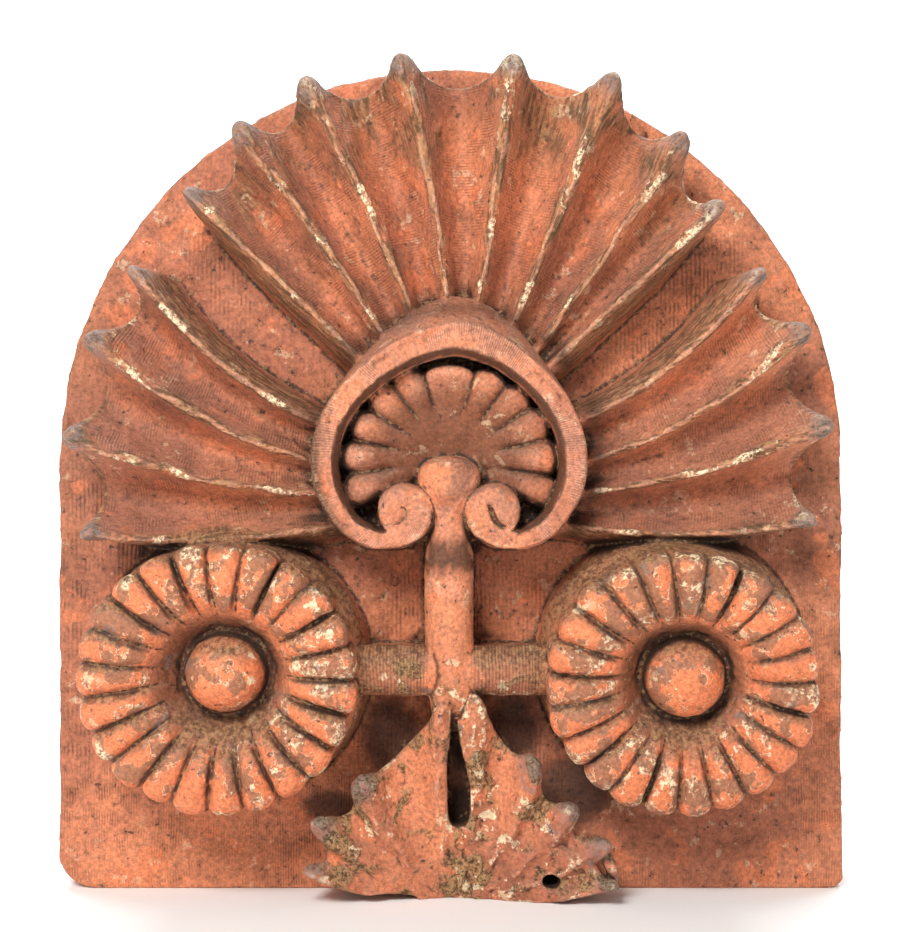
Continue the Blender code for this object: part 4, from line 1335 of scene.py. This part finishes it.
def clayNodes(material):
    material.use_nodes = True
    material.node_tree.nodes.clear()
    wires = Wiring(material.node_tree)
    fade, cloud, less, timesPlus = wires.fade, wires.cloud, wires.less, wires.timesPlus
    times, plus, most = wires.times, wires.plus, wires.most
    place = wires.add("ShaderNodeTexCoord").outputs["Object"]
    parts = wires.apart(place)
    skyward = wires.apart(wires.add("ShaderNodeNewGeometry").outputs["Normal"])["Z"]
    rise = less(slabFront, parts["Y"])
    colour = clayFinish["orange"]

    def mark(name):
        return wires.add("ShaderNodeAttribute", attribute_name=name).outputs["Fac"]

    def coat(name, *shares):  # lays a colour over what is there
        nonlocal colour
        node = wires.add("ShaderNodeMix", data_type="RGBA")
        values = (times(*shares), colour, clayFinish[name])
        for socket, value in zip([s for s in node.inputs if s.enabled], values):
            wires.feed(socket, value)
        colour = [s for s in node.outputs if s.enabled][0]

    edge, swell, shelter, broad, middling = map(
        mark, ("edge", "swell", "shelter", "broad", "middling"))
    worn, bowled, dulled, grimed = map(mark, ("worn", "bowled", "dulled", "grimed"))
    combed, finelyCombed, fluted = map(mark, ("combed", "finelyCombed", "fluted"))
    rolled, crusted, shaggy, drum = map(mark, ("rolled", "crusted", "shaggy", "drum"))
    tip, armed, bevel, leafed = map(mark, ("tip", "armed", "bevel", "leafed"))
    unrolled = timesPlus(rolled, -0.80, 1.0)

    # round the middle of the fans: how far out, and which way
    centre = (fan["centre"][0], 0.0, fan["centre"][1])
    inPlane = wires.vectors("SUBTRACT", place, centre)
    inPlane = wires.vectors("MULTIPLY", inPlane, (1.0, 0.0, 1.0))
    away = wires.vectors("LENGTH", inPlane)
    spread = wires.apart(inPlane)
    turn = wires.sums("ARCTAN2", spread["X"], spread["Z"])
    along = wires.add("ShaderNodeCombineXYZ", {"X": times(turn, 0.2), "Y": parts["Y"],
                                               "Z": times(away, 0.16)}).outputs[0]
    strands = wires.add("ShaderNodeMapping",
                        {"Vector": place, "Scale": (1.0, 0.22, 1.0)}).outputs[0]

    # the clay itself: orange and brick in broad clouds, with finer mottling
    fine = cloud(place, 170.0, 3.0, 0.62)
    mottle = cloud(place, 380.0, 4.0, 0.74)
    coat("brick", fade(broad, 0.40, 0.62))
    coat("umber", fade(middling, 0.50, 0.70), 0.50)
    coat("umber", fade(fine, 0.52, 0.72), 0.50)
    coat("umber", dulled)
    coat("bowl", crusted, 0.40)
    coat("pink", rolled, fade(middling, 0.44, 0.56), 0.35)

    # freshly bared orange under a browner skin, with ragged borders, on petals and bosses
    ragged = cloud(place, 44.0, 5.0, 0.62)
    border = times(fade(ragged, 0.490, 0.502), fade(ragged, 0.520, 0.508))
    bared = times(fade(mark("bare"), 0.56, 0.60), 0.45)
    coat("fresh", most(times(worn, 0.75), bared))
    coat("skin", worn, fade(ragged, 0.505, 0.525), 0.85)
    coat("cream", worn, border, fade(fine, 0.46, 0.60), 0.70)
    # painted shade, partly dirt, darkens the rosettes' cups and the palmette's dish
    coat("bowl", bowled)

    # dust and dirt on what faces the sky
    coat("dust", fade(timesPlus(middling, 0.9, skyward), 0.62, 1.05), 0.42)
    ledges = times(fade(skyward, 0.30, 0.75), fade(rise, 0.004, 0.012),
                   timesPlus(fluted, -0.88, 0.88), unrolled)
    ledges = most(ledges, times(drum, 0.95), times(armed, fade(skyward, -0.2, 0.5), 0.8))
    shag = cloud(strands, 330.0, 3.0, 0.70)
    coat("moss", ledges, fade(shag, 0.56, 0.40), 0.85)
    coat("fibre", ledges, fade(shag, 0.46, 0.60), 0.9)

    # old growth along the ribs and the fans' outer flanks, crust at the upper flutes' ends
    fibrous = cloud(along, 260.0, 3.0, 0.70)
    ribbed = times(fade(timesPlus(middling, 3.6, swell), 2.0, 3.4), fluted)
    ribbed = most(ribbed, times(shaggy, 0.9), times(crusted, fade(middling, 0.46, 0.60)))
    coat("moss", ribbed, fade(fibrous, 0.58, 0.42), 0.92)
    coat("fibre", ribbed, fade(fibrous, 0.50, 0.62), 0.80)

    # a painted pink highlight on the crests, limed patches too, crusted on the leaf
    proud = timesPlus(less(fine, 0.5), 0.9, edge)
    broken = fade(mottle, 0.44, 0.52)
    high = fade(rise, 0.012, 0.030)
    # painted pink highlight on what stands proud
    coat("pink", fade(proud, 0.28, 0.55), unrolled, high, 0.35)
    coat("cream", fade(proud, 0.12, 0.34), fade(mark("patchy"), 0.52, 0.57),
         fade(ragged, 0.48, 0.51), unrolled, high, broken, 0.9)
    crust = times(leafed, fade(mark("crusty"), 0.52, 0.57))
    coat("moss", crust, fade(mottle, 0.54, 0.46), 0.85)
    coat("fibre", crust, broken, 0.85)
    gathered = mark("gathered")
    coat("cream", fade(cloud(place, 80.0, 4.0, 0.70), 0.600, 0.625),
         timesPlus(most(worn, leafed), 0.6, 0.4), fade(gathered, 0.44, 0.56), 0.85)

    # slate-coloured patches on what stands out furthest
    slated = times(fade(mark("slaty"), 0.62, 0.66), fade(rise, 0.048, 0.056),
                   fade(mottle, 0.36, 0.50), unrolled)
    coat("slate", most(slated, times(tip, fade(mottle, 0.36, 0.54))), 0.62)

    # painted shade, partly dirt: shadow brown on the bevel, then brown, then grime, in hollows and
    # shelter, with crumbs in it
    # painted shadow on the band's inner bevel
    coat("shadow", bevel, 0.90)
    # painted shade brown, partly dirt, where the block hides the sky
    coat("bowl", fade(timesPlus(middling, 0.4, shelter), 0.38, 0.85), 0.50)
    # near-black painted shade, partly dirt, where the block hides most of the sky
    shelterShadeAndDirt = fade(timesPlus(middling, 0.5, shelter), 0.70, 0.95)
    # painted shade in creases that sink below their surroundings
    hollow = fade(timesPlus(fine, -0.5, edge), -0.45, -0.70)
    crumbs = wires.add("ShaderNodeTexVoronoi", {"Vector": place, "Scale": 460.0})
    # the darkest painted shade, partly dirt, in shelter, creases and along grooves
    coat("shadeAndGrime", most(times(shelterShadeAndDirt, 0.90), times(hollow, 0.85), grimed))
    coat("fibre", fade(crumbs.outputs["Color"], 0.60, 0.68), hollow, 0.55)
    coat("shadeAndGrime", fade(timesPlus(mottle, 0.4, fine), 0.86, 0.92), 0.8)

    def lines(phase, pitch):  # sharp dark lines with wide pale ones between
        wave = timesPlus(wires.sums("SINE", times(phase, 2 * math.pi / pitch)), 0.5, 0.5)
        return times(wave, wave)

    # comb lines down the slab, tool lines across the flutes and ticks round the band
    bent = times(less(mark("bending"), 0.5), 0.005)
    sideways = plus(parts["X"], bent)
    coarse = times(lines(sideways, clayFinish["combPitch"]), less(1.0, finelyCombed))
    comb = timesPlus(lines(sideways, clayFinish["finePitch"]), finelyCombed, coarse)
    comb = times(comb, combed, fade(cloud(strands, 90.0, 1.0), 0.38, 0.60),
                 fade(gathered, 0.60, 0.40, 0.3, 1.0))
    comb = most(comb, times(lines(sideways, clayFinish["armPitch"]), armed, 0.8))
    tool = times(lines(plus(away, bent), clayFinish["toolPitch"]), fluted,
                 fade(mark("worked"), 0.44, 0.60), less(1.0, ribbed))
    tick = times(lines(times(turn, clayFinish["tickReach"]), clayFinish["tickPitch"]), rolled,
                 fade(rise, 0.0620, 0.0645), fade(middling, 0.42, 0.60))
    coat("umber", comb, timesPlus(finelyCombed, -0.22, 0.62))
    coat("umber", tool, 0.40)
    coat("umber", tick, 0.45)

    # a speckle of light and dark over everything
    speckle = timesPlus(less(mottle, 0.5), 2.3, 1.02)
    speckle = wires.sums("MINIMUM", most(speckle, 0.45), 1.30)
    colour = wires.stretched(colour, speckle)

    # relief too fine for the mesh
    height = plus(times(comb, -0.50), times(tool, -0.28), times(tick, -0.30), times(fine, 0.75),
                  times(mottle, 0.55), times(crust, mottle, 1.2), times(ribbed, fibrous, 1.2))
    relief = wires.add("ShaderNodeBump", {"Height": height, "Distance": 0.0010, "Strength": 1.0})
    gloss = fade(middling, 0.3, 0.7, 0.58, 0.86)
    shader = wires.add("ShaderNodeBsdfPrincipled",
                       {"Base Color": colour, "Roughness": gloss,
                        "Normal": relief.outputs["Normal"], "Specular IOR Level": 0.40})
    wires.add("ShaderNodeOutputMaterial", {"Surface": shader.outputs[0]})


clayNodes(clay)
lunette.data.materials.clear()
lunette.data.materials.append(clay)
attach(lunette, "root")
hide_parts("terracotta_lunette")
print("clay finished")

# Studio

studio = {
    "distance": 1.35,  # from the camera to the slab's front
    "eye": 0.301,
    "frameHeight": 932 * 0.560 / 785,  # what the photograph shows at the slab's front
    "sensor": 24.0,
    "key": 50.0,
    "fill": 3.0,
    "backdrop": 130.0,
    "room": 0.32,
    "paper": 0.90,
}


def lamp(name, place, aim, size, power, colour=(1.0, 1.0, 1.0)):
    light = bpy.data.lights.new(name, "AREA")
    light.shape = "RECTANGLE"
    light.size, light.size_y = size
    light.energy = power
    light.color = colour
    holder = bpy.data.objects.new(name, light)
    bpy.context.scene.collection.objects.link(holder)
    holder.location = place
    direction = np.array(aim) - np.array(place)
    holder.rotation_euler = mathutils.Vector(direction).to_track_quat("-Z", "Y").to_euler()
    return holder


def sweep():
    # a pale floor that curves up into a backdrop
    profile = [(-4.0, 0.0), (1.2, 0.0)]
    for turn in np.radians(np.arange(10, 91, 10)):
        profile.append((1.2 + 0.8 * math.sin(turn), 0.8 - 0.8 * math.cos(turn)))
    profile.append((2.0, 4.5))
    points, faces = [], []
    for y, z in profile:
        points += [(-4.5, y, z - 0.0002), (4.5, y, z - 0.0002)]
    for i in range(len(profile) - 1):
        faces.append((2 * i, 2 * i + 1, 2 * i + 3, 2 * i + 2))
    mesh = bpy.data.meshes.new("studio floor")
    mesh.from_pydata(points, [], faces)
    mesh.shade_smooth()
    floor = bpy.data.objects.new("studioFloor", mesh)
    bpy.context.scene.collection.objects.link(floor)
    paper = bpy.data.materials.new("studio paper")
    paper.use_nodes = True
    shader = paper.node_tree.nodes["Principled BSDF"]
    level = studio["paper"]
    shader.inputs["Base Color"].default_value = (level, level, level, 1.0)
    shader.inputs["Roughness"].default_value = 1.0
    mesh.materials.append(paper)


sweep()
middle = (0.0, -0.05, 0.29)
lamp("key light", (-0.60, -1.80, 1.45), middle, (0.8, 0.7), studio["key"], (1.0, 0.98, 0.95))
lamp("left fill", (-1.5, -1.5, 0.5), middle, (1.2, 1.4), studio["fill"])
lamp("right fill", (1.5, -1.5, 0.5), middle, (1.2, 1.4), studio["fill"])
lamp("backdrop light", (0.0, 0.9, 2.6), (0.0, 1.9, 0.5), (3.0, 0.8), studio["backdrop"])
bpy.context.scene.view_settings.view_transform = "Standard"

world = bpy.data.worlds.new("studio room")
world.use_nodes = True
world.node_tree.nodes["Background"].inputs["Color"].default_value = (1.0, 1.0, 1.0, 1.0)
world.node_tree.nodes["Background"].inputs["Strength"].default_value = studio["room"]
bpy.context.scene.world = world

camera = bpy.data.cameras.new("camera")
camera.sensor_width = studio["sensor"]
camera.lens = studio["sensor"] * studio["distance"] / studio["frameHeight"]
eye = bpy.data.objects.new("camera", camera)
bpy.context.scene.collection.objects.link(eye)
eye.location = (0.0, slabFront - studio["distance"], studio["eye"])
eye.rotation_euler = (math.pi / 2, 0.0, 0.0)
bpy.context.scene.camera = eye
print("studio lit")
